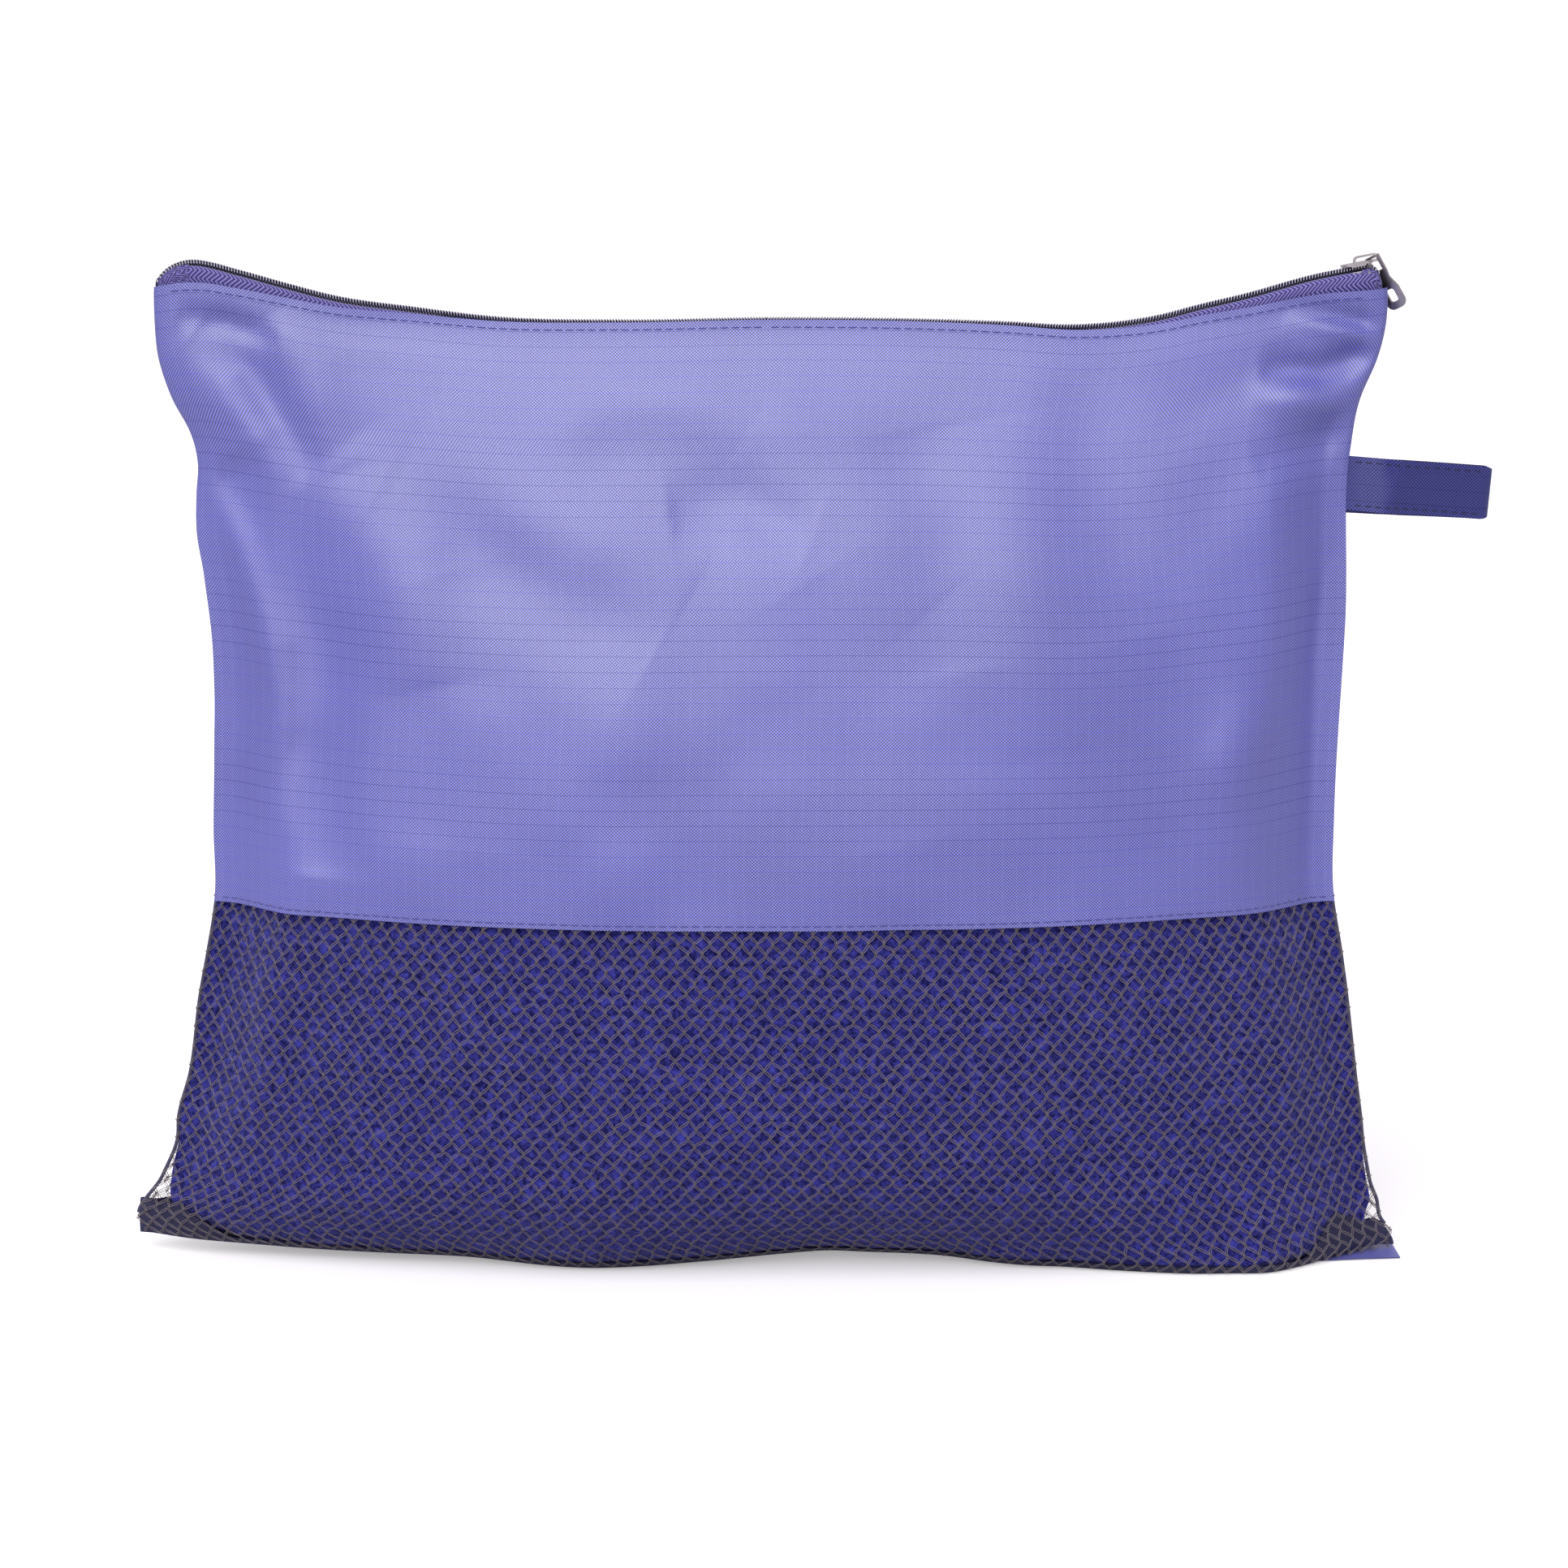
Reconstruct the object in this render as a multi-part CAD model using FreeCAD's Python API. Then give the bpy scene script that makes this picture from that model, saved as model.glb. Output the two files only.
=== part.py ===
"""Soft zipped packing cube: ripstop upper part, mesh lower part, coil zip along the top.

Frame: millimetres, +X to the right along the zip, +Y to the back, +Z up.
The origin is the middle of the flat base of the bottom band.
The four lips of the mouth turn about upright axes beside the side seams, so each half of a
zip side swings out like a door leaf and the two halves stay together in the middle.
"""
import FreeCAD
import Part
import math
import os

Vector = FreeCAD.Vector

# Driving dimensions of the pouch
SIDE_OUTLINE = ((0, 203), (6, 206), (24, 199), (45, 193.5), (90, 186), (145, 180.5),
                (206, 181.5), (262, 183), (280, 188), (298, 192), (325, 192))   # height, half width
DEPTH_PROFILE = ((0, 20), (10, 31), (40, 42), (110, 48), (180, 44), (235, 30),
                 (264, 19), (290, 9), (302, 6.2), (325, 6.2))                   # height, half depth
SEAM_PROFILE = ((0, 1.3), (240, 1.3), (285, 5.9), (325, 5.9))                   # height, half depth
CROWN_POWER = 2.4            # how square the bulge is across the width
CROWN_ROUND = 0.8
FABRIC = 0.6                 # thickness of the ripstop and the mesh
THREAD = 0.3
THREAD_GAP = 0.15            # under a line of stitching
COLUMNS = 20                 # spans across a full panel
FLEECE_COLUMNS = 16
FLEECE_ROWS = 9
FLEECE_GAP = 0.9             # between the skin's inner face and the fleece
HEM_HEIGHT = 117             # folded edge where ripstop and mesh meet
HEM_STITCH_RISE = 1.2        # from the hem's edge to its line of thread
STITCH_WIDTH = 0.5
MESH_LOW = 1.6
LIP_LOW = 264                # the lips turn above this height
FLEECE_TOP = 259
BAND_HEIGHT = 13
BAND_THICK = 0.8
BAND_HALF_LENGTH = 192
EAR_LIFT = 5                 # how far the band's ends rise off the table
FLAT_HALF_LENGTH = 160       # half length of the flat part of the band's base
BAND_INSET = 0.8             # from the pouch's outer face to the band
EAR_SECTION = 178            # extra section between the flat part and the band's end
SKIRT_HEIGHT = 45            # below this height the fleece keeps its width
BINDING_WIDTH = 5
BINDING_STAND = 0.5          # how far the binding stands out from the panels' faces
BINDING_MAX = 3.8            # greatest half thickness of the binding
BODY_GAP = 0.4               # between bodies

# Zip
ARC_RADIUS = 970             # the chain sags on a circle whose centre is above the pouch
CHAIN_MIDDLE = 300.5
ARC_CENTRE = CHAIN_MIDDLE + ARC_RADIUS
LIP_END = 187                # outer end of each lip, from the middle
LIP_SPLIT = 0.7              # half of the gap between the left and right lips
TAPE_DROP = 7
TAPE_EDGE = 4.6
TAPE_THICK = 0.6
TAPE_END_LOW = 300
TAPE_END_HALF = 4
TAPE_END_DROP = 2.6          # top of the folded tape ends below the chain
TOPSTITCH_DROP = 2.4         # thread below the panel's top edge
COIL_WIDTH = 1.75
COIL_HALF_HEIGHT = 0.9
COIL_GAP = 0.15
PANEL_DROP_MIDDLE = 1.2      # panel edge below the chain, in the middle and at the ends
PANEL_DROP_END = 6.5
SLIDER_X = 185.5
SLIDER_LENGTH = 9.4
SLIDER_FRONT = 3.9           # front end of the slider's plates
SLIDER_HALF_WIDTH = 4.2
FLANGE = 0.7                 # thickness of the plates' turned edges
FLANGE_LENGTH = 4.6
FLANGE_HEIGHT = 0.5
WEDGE = (2.4, 3.8, 1.2)      # start, end and half width of the post between the plates
PLATE = 0.8
PLATE_CLEAR = 1.2            # from the chain's middle to each plate
TONGUE_START = 2
TONGUE_END = 6.4
BAIL_HALF_WIDTH = 1.1
BAIL_START = -1.6
BAIL_TOP = 3.9
BAIL_WIRE = 0.6
PIVOT = (4.4, 2.65)          # pull tab's axis, along and above the chain from the slider
TAB_LENGTH = 18
TAB_ANGLE = -60              # rests on the corner of the pouch
TAB_HALF_WIDTH = 3.5
TAB_NECK = 2.5               # half width beside the eye
TAB_WAIST = 2.2
TAB_THICK = 0.8
EYE_LENGTH = 4.6
EYE_WIDTH = 3
EYE_BRIDGE = 1               # metal between the eye and the waist
HOLE_LENGTH = 4.2
HOLE_MARGIN = 2.4

# Side loop
LOOP_HEIGHT = 250            # middle of the loop
LOOP_WIDTH = 17
LOOP_AXIS_X = 184.5
LOOP_REACH = 44
LOOP_THICK = 1.2
LOOP_HALF_GAP = 4.4
LOOP_BEAD = 1.3              # radius of the sewn ends
LOOP_SEWN = 6                # length of the legs that are sewn together
LOOP_STITCH_EDGE = 1.6       # thread from the loop's edges

FRONT, BACK = -1, 1
LEFT, RIGHT = -1, 1


def smooth(table, position):
    """Smooth curve through (position, value) pairs."""
    last = len(table) - 2
    i = min(max(sum(1 for p, _ in table if p <= position) - 1, 0), last)
    (p0, v0), (p1, v1) = table[i], table[i + 1]
    before, after = table[max(i - 1, 0)], table[min(i + 2, last + 1)]
    slope0 = (v1 - before[1]) / (p1 - before[0])
    slope1 = (after[1] - v0) / (after[0] - p0)
    h = p1 - p0
    t = min(max((position - p0) / h, 0), 1)
    return ((1 + 2 * t) * (1 - t) ** 2 * v0 + t * (1 - t) ** 2 * h * slope0
            + t * t * (3 - 2 * t) * v1 + t * t * (t - 1) * h * slope1)


def half_width(z):
    return smooth(SIDE_OUTLINE, z)


def half_depth(x, z):
    """Outer face of the pouch, measured from its middle plane."""
    across = min(abs(x) / half_width(z), 1)
    crown = (1 - across ** CROWN_POWER) ** CROWN_ROUND
    seam = smooth(SEAM_PROFILE, z)
    return seam + max(smooth(DEPTH_PROFILE, z) - seam, 0) * crown


def chain_height(x):
    return ARC_CENTRE - math.sqrt(ARC_RADIUS ** 2 - x * x)


def lip_top(x):
    share = min(abs(x) / LIP_END, 1) ** 2
    return chain_height(x) - PANEL_DROP_MIDDLE - (PANEL_DROP_END - PANEL_DROP_MIDDLE) * share


def closed(grids):
    """A solid between two grids of points that have the same number of rows and columns."""
    sheets = []
    for grid in grids:
        sheet = Part.BSplineSurface()
        sheet.interpolate(grid)
        sheets.append(sheet)
    faces = [sheet.toShape() for sheet in sheets]
    u0, u1, v0, v1 = sheets[0].bounds()
    for rim in (lambda s: s.uIso(u0), lambda s: s.uIso(u1), lambda s: s.vIso(v0), lambda s: s.vIso(v1)):
        faces.append(Part.makeRuledSurface(*[rim(sheet).toShape() for sheet in sheets]))
    shell = Part.makeShell(faces)
    shell.sewShape()
    solid = Part.makeSolid(shell)
    if solid.Volume < 0:
        solid.reverse()
    return solid


def skin(side, spot, inset, thick, columns, rows):
    """A curved strip of cloth. spot(s, t) gives x and z for s and t from 0 to 1."""
    grids = []
    for depth in (inset, inset + thick):
        grid = []
        for i in range(columns + 1):
            row = []
            for j in range(rows + 1):
                x, z = spot(i / columns, j / rows)
                row.append(Vector(x, side * (half_depth(x, z) - depth), z))
            grid.append(row)
        grids.append(grid)
    return closed(grids)


def wide_strip(low, high, margin):
    """Spots of a strip from one side seam to the other."""
    def spot(s, t):
        z = low + (high - low) * t
        return (2 * s - 1) * (half_width(z) - margin), z
    return spot


def lip_end(z):
    """Outer end of a lip, where the seam binding starts."""
    return min(half_width(z) - BINDING_WIDTH, LIP_END)


def lip_strip(hand, low, high):
    """Spots of half a strip, from the middle to the outer end of a lip."""
    def spot(s, t):
        end = lip_end(low(LIP_END) + (high(LIP_END) - low(LIP_END)) * t)
        x = LIP_SPLIT + (end - LIP_SPLIT) * s
        return hand * x, low(x) + (high(x) - low(x)) * t
    return spot


def panels():
    """Ripstop below the lips, mesh below the hem, and the hem's stitching, front and back."""
    for side, name in ((FRONT, "front"), (BACK, "back")):
        yield name + "_panel", skin(side, wide_strip(HEM_HEIGHT, LIP_LOW - BODY_GAP, BINDING_WIDTH),
                                    0, FABRIC, COLUMNS, 10)
        yield name + "_mesh", skin(side, wide_strip(MESH_LOW, HEM_HEIGHT - BODY_GAP, BINDING_WIDTH),
                                   0, FABRIC, COLUMNS, 8)
        row = HEM_HEIGHT + HEM_STITCH_RISE
        yield name + "_hem_stitching", skin(side, wide_strip(row, row + STITCH_WIDTH, BINDING_WIDTH + 1),
                                            -THREAD - THREAD_GAP, THREAD, COLUMNS, 1)


def band_profile(x):
    """Lift of the band's edge off the table, its half depth there, and its half depth at its top."""
    out = max(abs(x) - FLAT_HALF_LENGTH, 0) / (BAND_HALF_LENGTH - FLAT_HALF_LENGTH)
    lift = EAR_LIFT * out * out
    base = max(half_depth(x, lift) - BAND_INSET - 0.2, 1.4)
    return lift, base, max(half_depth(x, BAND_HEIGHT) - BAND_INSET, base + 0.4)


def fleece_depth(x, z):
    """Half depth of the fleece, inside the skin and inside the bottom band."""
    depth = half_depth(x, z) - FABRIC - FLEECE_GAP - BAND_THICK
    if z < BAND_HEIGHT:
        lift, base, top = band_profile(x)
        wall = base + (top - base) * max(z - lift, 0) / (BAND_HEIGHT - lift)
        depth = min(depth, wall - BAND_THICK - 2 * FLEECE_GAP)
    return max(depth, 0.3)


def fleece():
    """Folded fleece throw inside the pouch: one plain pillow."""
    low = BAND_THICK + FLEECE_GAP
    start = BAND_HEIGHT + 17
    levels = [low, BAND_HEIGHT / 2, BAND_HEIGHT + 1]
    levels += [start + (FLEECE_TOP - start) * j / FLEECE_ROWS for j in range(FLEECE_ROWS + 1)]
    halves = []
    for side in (FRONT, BACK):
        grid = []
        for i in range(FLEECE_COLUMNS + 1):
            row = []
            for z in levels:
                reach = half_width(max(z, SKIRT_HEIGHT)) - 3 * BINDING_WIDTH
                reach = min(reach, FLAT_HALF_LENGTH + 0.3 * z)
                x = (2 * i / FLEECE_COLUMNS - 1) * reach
                row.append(Vector(x, side * fleece_depth(x, z), z))
            grid.append(row)
        halves.append(grid)
    return closed(halves)


def prism(sections):
    """A solid of flat faces through a row of closed sections with the same number of corners."""
    faces = [Part.Face(Part.makePolygon(s + s[:1])) for s in (sections[0], sections[-1])]
    for near, far in zip(sections, sections[1:]):
        for k in range(len(near)):
            a, b = near[k - 1], near[k]
            c, d = far[k], far[k - 1]
            for corners in ([a, b, c], [a, c, d]):
                faces.append(Part.Face(Part.makePolygon(corners + corners[:1])))
    shell = Part.makeShell(faces)
    shell.sewShape()
    solid = Part.makeSolid(shell)
    if solid.Volume < 0:
        solid.reverse()
    return solid.removeSplitter()


def bottom_band():
    """Ripstop channel that closes the bottom, inside the mesh, with a flat base."""
    half = [40 * k for k in range(1, FLAT_HALF_LENGTH // 40 + 1)] + [EAR_SECTION, BAND_HALF_LENGTH]
    stations = [-x for x in reversed(half)] + [0] + half
    sections = []
    for x in stations:
        lift, base, top = band_profile(x)
        outer = [(-top, BAND_HEIGHT), (-base, lift), (base, lift), (top, BAND_HEIGHT)]
        inner = [(top - BAND_THICK, BAND_HEIGHT), (base - 0.7 * BAND_THICK, lift + BAND_THICK),
                 (-base + 0.7 * BAND_THICK, lift + BAND_THICK), (-top + BAND_THICK, BAND_HEIGHT)]
        sections.append([Vector(x, y, z) for y, z in outer + inner])
    return prism(sections)


def seam_binding(hand):
    """Folded binding that closes one side seam, wider at the top corner."""
    levels = (4, 12, 24, 45, 90, 145, 206, 240, 262, 280, 290, 299.5)
    grids = []
    for side in (FRONT, BACK):
        grid = []
        for z in levels:
            edge = half_width(z)
            inner = (lip_end(z) if z > LIP_LOW else edge - BINDING_WIDTH) + BODY_GAP
            thick = min(smooth(SEAM_PROFILE, z), BINDING_MAX)
            row = [Vector(hand * x, side * (thick + BINDING_STAND), z) for x in (inner, (inner + edge) / 2)]
            row.append(Vector(hand * (edge + 0.3), side * thick * 0.6, z))
            grid.append(row)
        grids.append(grid)
    return closed(grids)


def edge_stitching(hand):
    """Line of thread along a side binding, front and back."""
    solids = []
    levels = (10, 24, 45, 90, 145, 206, 240)
    face = SEAM_PROFILE[0][1] + BINDING_STAND + 0.1
    half = STITCH_WIDTH / 2
    for side in (FRONT, BACK):
        grids = []
        for out in (face, face + THREAD):
            grid = []
            for z in levels:
                middle = half_width(z) - BINDING_WIDTH / 2 - STITCH_WIDTH
                grid.append([Vector(hand * (middle + w), side * out, z) for w in (-half, half)])
            grids.append(grid)
        solids.append(closed(grids))
    return Part.makeCompound(solids)


def on_arc(hand, section, start, end):
    """Sweep a closed section of (y, height above the chain) along the zip's arc."""
    corners = [Vector(0, y, CHAIN_MIDDLE + n) for y, n in section]
    face = Part.Face(Part.makePolygon(corners + corners[:1]))
    axis = Vector(0, 0, ARC_CENTRE)
    start_turn = math.degrees(math.asin(start / ARC_RADIUS))
    end_turn = math.degrees(math.asin(end / ARC_RADIUS))
    face.rotate(axis, Vector(0, -1, 0), hand * start_turn)
    return face.revolve(axis, Vector(0, -1, 0), hand * (end_turn - start_turn))


def lip(side, hand):
    """One quarter of the mouth: panel edge, tape, half of the coil, and topstitching."""
    def low(_):
        return LIP_LOW

    def stitch_low(x):
        return lip_top(x) - TOPSTITCH_DROP

    def stitch_high(x):
        return lip_top(x) - TOPSTITCH_DROP + STITCH_WIDTH

    def mirrored(points):
        return [(side * y, n) for y, n in points]

    tape = [(COIL_GAP + COIL_WIDTH + 0.1, -TAPE_THICK / 2), (TAPE_EDGE, -TAPE_THICK / 2),
            (TAPE_EDGE, -TAPE_DROP), (TAPE_EDGE + TAPE_THICK, -TAPE_DROP),
            (TAPE_EDGE + TAPE_THICK, TAPE_THICK / 2), (COIL_GAP + COIL_WIDTH + 0.1, TAPE_THICK / 2)]
    coil = [(COIL_GAP, -COIL_HALF_HEIGHT), (COIL_GAP + COIL_WIDTH, -COIL_HALF_HEIGHT),
            (COIL_GAP + COIL_WIDTH, COIL_HALF_HEIGHT), (COIL_GAP, COIL_HALF_HEIGHT)]
    return {
        "panel_edge": skin(side, lip_strip(hand, low, lip_top), 0, FABRIC, 10, 5),
        "topstitching": skin(side, lip_strip(hand, stitch_low, stitch_high),
                             -THREAD - THREAD_GAP, THREAD, 10, 1),
        "tape": on_arc(hand, mirrored(tape), LIP_SPLIT, LIP_END - 0.2),
        "coil": on_arc(hand, mirrored(coil), LIP_SPLIT, LIP_END - 0.2),
    }


def tape_end(hand):
    """Folded ends of both tapes, sewn down at the corner."""
    outer = half_width(TAPE_END_LOW)
    inner = LIP_END + BODY_GAP
    top = chain_height(LIP_END) - TAPE_END_DROP
    box = Part.makeBox(outer - inner, 2 * TAPE_END_HALF, top - TAPE_END_LOW,
                       Vector(inner, -TAPE_END_HALF, TAPE_END_LOW))
    box = box.makeFillet(2.5, [e for e in box.Edges if abs(e.CenterOfMass.x - outer) < 0.1
                               and e.CenterOfMass.z > top - 0.1])
    return box if hand == RIGHT else box.mirror(Vector(0, 0, 0), Vector(1, 0, 0))


def at_slider(shape):
    """Turn a shape drawn along the chain (x along, z above) onto the arc at the slider."""
    turn = math.degrees(math.asin(SLIDER_X / ARC_RADIUS))
    shape.translate(Vector(0, 0, CHAIN_MIDDLE))
    shape.rotate(Vector(0, 0, ARC_CENTRE), Vector(0, -1, 0), turn)
    return shape


def plate(low, high, start, end, half):
    box = Part.makeBox(end - start, 2 * half, high - low, Vector(start, -half, low))
    upright = [e for e in box.Edges if abs(e.tangentAt(e.FirstParameter).z) > 0.9]
    return box.makeFillet(min(half, (end - start) / 2) * 0.55, upright)


def slider_body():
    start = SLIDER_FRONT - SLIDER_LENGTH
    outer = PLATE_CLEAR + PLATE
    body = plate(PLATE_CLEAR, outer, start, SLIDER_FRONT, SLIDER_HALF_WIDTH)
    body = body.fuse(plate(-outer, -PLATE_CLEAR, start, SLIDER_FRONT, SLIDER_HALF_WIDTH))
    body = body.fuse(plate(-PLATE_CLEAR - 0.1, PLATE_CLEAR + 0.1, *WEDGE))
    body = body.fuse(Part.makeBox(TONGUE_END - TONGUE_START, 2 * BAIL_HALF_WIDTH, PLATE,
                                  Vector(TONGUE_START, -BAIL_HALF_WIDTH, PLATE_CLEAR)))
    for y in (-SLIDER_HALF_WIDTH, SLIDER_HALF_WIDTH - FLANGE):
        for low in (PLATE_CLEAR + 0.05 - FLANGE_HEIGHT, -PLATE_CLEAR - 0.05):
            flange = Part.makeBox(FLANGE_LENGTH, FLANGE, FLANGE_HEIGHT,
                                  Vector((start + SLIDER_FRONT - FLANGE_LENGTH) / 2, y, low))
            body = body.fuse(flange)
    return at_slider(body.removeSplitter())


def slider_bail():
    """Low arch over the top plate that holds the pull tab's eye."""
    low = PLATE_CLEAR + PLATE
    length = TONGUE_END - BAIL_START
    outer = Part.makeBox(length, 2 * BAIL_HALF_WIDTH, BAIL_TOP - low,
                         Vector(BAIL_START, -BAIL_HALF_WIDTH, low))
    inner = Part.makeBox(length - 2 * BAIL_WIRE, 3 * BAIL_HALF_WIDTH, BAIL_TOP - low - BAIL_WIRE,
                         Vector(BAIL_START + BAIL_WIRE, -1.5 * BAIL_HALF_WIDTH, low))

    def top_ends(shape, level):
        return [e for e in shape.Edges if abs(e.CenterOfMass.z - level) < 0.05
                and abs(e.tangentAt(e.FirstParameter).y) > 0.9]

    outer = outer.makeFillet(1.5, top_ends(outer, BAIL_TOP))
    inner = inner.makeFillet(0.8, top_ends(inner, BAIL_TOP - BAIL_WIRE))
    return at_slider(outer.cut(inner))


def pull_tab():
    """Flat tab with an eye for the bail and an oval hole near its tip."""
    half = TAB_THICK / 2
    eye_end = EYE_LENGTH + EYE_BRIDGE
    widest = TAB_LENGTH - HOLE_LENGTH - HOLE_MARGIN
    side = [(0, TAB_NECK), (eye_end, TAB_NECK), (eye_end + 2, TAB_WAIST),
            (widest, TAB_HALF_WIDTH), (TAB_LENGTH, TAB_HALF_WIDTH)]
    corners = [(x, -y) for x, y in side] + side[::-1]
    outline = [Vector(x, y, -half) for x, y in corners]
    tab = Part.Face(Part.makePolygon(outline + outline[:1])).extrude(Vector(0, 0, TAB_THICK))
    tip = [e for e in tab.Edges if abs(e.CenterOfMass.x - TAB_LENGTH) < 0.1
           and abs(e.tangentAt(e.FirstParameter).z) > 0.9]
    tab = tab.makeFillet(2.4, tip)
    tab = tab.cut(Part.makeBox(EYE_LENGTH, EYE_WIDTH, 3, Vector(0, -EYE_WIDTH / 2, -1.5)))
    bar = Part.makeCylinder(half, 2 * TAB_NECK, Vector(0, -TAB_NECK, 0), Vector(0, 1, 0))
    hole = plate(-1, 1, widest, widest + HOLE_LENGTH, EYE_WIDTH / 2)
    tab = tab.fuse(bar).cut(hole).removeSplitter()
    along = math.degrees(math.asin(SLIDER_X / ARC_RADIUS))
    tab.rotate(Vector(0, 0, 0), Vector(0, 1, 0), along - TAB_ANGLE)
    tab.translate(Vector(PIVOT[0], 0, PIVOT[1]))
    return at_slider(tab)


def loop_outline(axis_y, wide_y, start, tip):
    """Teardrop: straight legs from the seam to a round end."""
    widest = LOOP_AXIS_X + LOOP_REACH - LOOP_HALF_GAP - LOOP_THICK
    ends = [Vector(start, axis_y, 0), Vector(widest, wide_y, 0),
            Vector(widest, -wide_y, 0), Vector(start, -axis_y, 0)]
    return Part.Face(Part.Wire([
        Part.LineSegment(ends[0], ends[1]).toShape(),
        Part.Arc(ends[1], Vector(tip, 0, 0), ends[2]).toShape(),
        Part.LineSegment(ends[2], ends[3]).toShape(),
        Part.Arc(ends[3], Vector(start - axis_y, 0, 0), ends[0]).toShape()]))


def side_loop():
    """Folded strip sewn into the right seam; its sewn ends turn about the seam."""
    tip = LOOP_AXIS_X + LOOP_REACH
    outer = loop_outline(LOOP_BEAD, LOOP_HALF_GAP + LOOP_THICK, LOOP_AXIS_X, tip)
    inner = loop_outline(0.4, LOOP_HALF_GAP, LOOP_AXIS_X + LOOP_SEWN, tip - LOOP_THICK)
    band = outer.cut(inner).extrude(Vector(0, 0, LOOP_WIDTH))
    band.translate(Vector(0, 0, LOOP_HEIGHT - LOOP_WIDTH / 2))
    return band


def loop_stitching():
    """Thread along both edges of the loop, on the outside of its straight legs."""
    widest = LOOP_AXIS_X + LOOP_REACH - LOOP_HALF_GAP - LOOP_THICK
    slope = (LOOP_HALF_GAP + LOOP_THICK - LOOP_BEAD) / (widest - LOOP_AXIS_X)
    start, end = LOOP_AXIS_X + LOOP_SEWN - 1, widest - 1
    lines = []
    for side in (FRONT, BACK):
        corners = []
        for x, out in ((start, 0), (end, 0), (end, THREAD), (start, THREAD)):
            leg = LOOP_BEAD + slope * (x - LOOP_AXIS_X)
            corners.append(Vector(x, side * (leg + THREAD_GAP + out), 0))
        face = Part.Face(Part.makePolygon(corners + corners[:1]))
        reach = LOOP_WIDTH / 2 - LOOP_STITCH_EDGE
        for height in (-reach, reach - STITCH_WIDTH):
            thread = face.extrude(Vector(0, 0, STITCH_WIDTH))
            thread.translate(Vector(0, 0, LOOP_HEIGHT + height))
            lines.append(thread)
    return Part.makeCompound(lines)


def build():
    nodes = dict(panels())
    nodes["fleece_throw"] = fleece()
    nodes["bottom_band"] = bottom_band()
    for hand, name in ((LEFT, "left"), (RIGHT, "right")):
        nodes[name + "_seam_binding"] = seam_binding(hand)
        nodes[name + "_seam_stitching"] = edge_stitching(hand)
        nodes[name + "_tape_end"] = tape_end(hand)
        for side, face in ((FRONT, "front"), (BACK, "back")):
            for piece, shape in lip(side, hand).items():
                nodes[f"{face}_{name}_{piece}"] = shape
    nodes["slider_body"] = slider_body()
    nodes["slider_bail"] = slider_bail()
    nodes["pull_tab"] = pull_tab()
    nodes["side_loop"] = side_loop()
    nodes["loop_stitching"] = loop_stitching()
    return nodes


os.makedirs("parts", exist_ok=True)
for name, shape in build().items():
    shape.exportStep(f"parts/{name}.step")
    print(f"{name:28s} valid {shape.isValid()}  solids {len(shape.Solids)}  {shape.Volume / 1000:.2f} cm3")
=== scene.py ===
import math

import bpy
import numpy as np
from mathutils import Matrix, Vector


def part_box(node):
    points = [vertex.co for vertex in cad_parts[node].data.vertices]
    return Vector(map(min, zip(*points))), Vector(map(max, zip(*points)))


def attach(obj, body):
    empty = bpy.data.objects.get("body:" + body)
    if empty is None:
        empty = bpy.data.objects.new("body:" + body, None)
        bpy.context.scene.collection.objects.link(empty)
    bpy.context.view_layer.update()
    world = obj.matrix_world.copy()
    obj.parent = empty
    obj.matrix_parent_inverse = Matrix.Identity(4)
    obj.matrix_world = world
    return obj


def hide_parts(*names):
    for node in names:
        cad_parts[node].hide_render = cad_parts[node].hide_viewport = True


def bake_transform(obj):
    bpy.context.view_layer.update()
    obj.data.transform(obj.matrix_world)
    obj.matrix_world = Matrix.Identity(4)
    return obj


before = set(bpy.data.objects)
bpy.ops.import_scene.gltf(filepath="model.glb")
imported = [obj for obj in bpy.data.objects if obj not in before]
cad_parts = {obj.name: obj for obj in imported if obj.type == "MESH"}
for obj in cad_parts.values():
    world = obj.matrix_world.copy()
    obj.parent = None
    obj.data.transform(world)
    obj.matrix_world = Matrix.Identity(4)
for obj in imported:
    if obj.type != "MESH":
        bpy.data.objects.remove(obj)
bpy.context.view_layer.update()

# Sizes of the pouch, in metres.
MM = 0.001
FRONT, BACK, LEFT, RIGHT = -1, 1, -1, 1
FACES = {FRONT: "front", BACK: "back"}
HANDS = {LEFT: "left", RIGHT: "right"}
CROWN_POWER, CROWN_ROUND = 2.4, 0.8
EDGE_ROUND = 18                # how sharply a panel turns in at its side seam
SEAM_HALF = 1.0 * MM
HEM = 117 * MM                 # height of the seam between net and ripstop
NEAR_FLOOR = 45 * MM           # height over which the bottom edge's lift fades out
CHAIN_MIDDLE = 300.5 * MM
ARC_RADIUS = 970 * MM
ARC_CENTRE = CHAIN_MIDDLE + ARC_RADIUS
CHAIN_END = 187 * MM
CLOTH = 0.45 * MM              # thickness of the panels and the zip tape
THIN_CLOTH = 0.35 * MM         # thickness of the trims
ON_CLOTH = 0.5 * MM            # how far outside the pouch's shape the ripstop and its stitches lie
COIL_PITCH = 0.9 * MM
# Where each end of the zip starts to close in plan, and over which distance.
PLAN = {LEFT: (176 * MM, 15.8 * MM), RIGHT: (183 * MM, 10.2 * MM)}
# Where each end of the zip starts to curl down, over which distance, and how far down.
CURL = {LEFT: (177 * MM, 14.6 * MM, 10 * MM), RIGHT: (187 * MM, 5.6 * MM, 8 * MM)}
TAB_PIVOT = (189.31 * MM, 0, 321.84 * MM)
TAB_LEAN = math.radians(30)    # the pull's lean from straight down, towards the right
TAB_TWIST = math.radians(-48)
NET_COLUMNS, NET_ROWS = 78, 39


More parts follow.
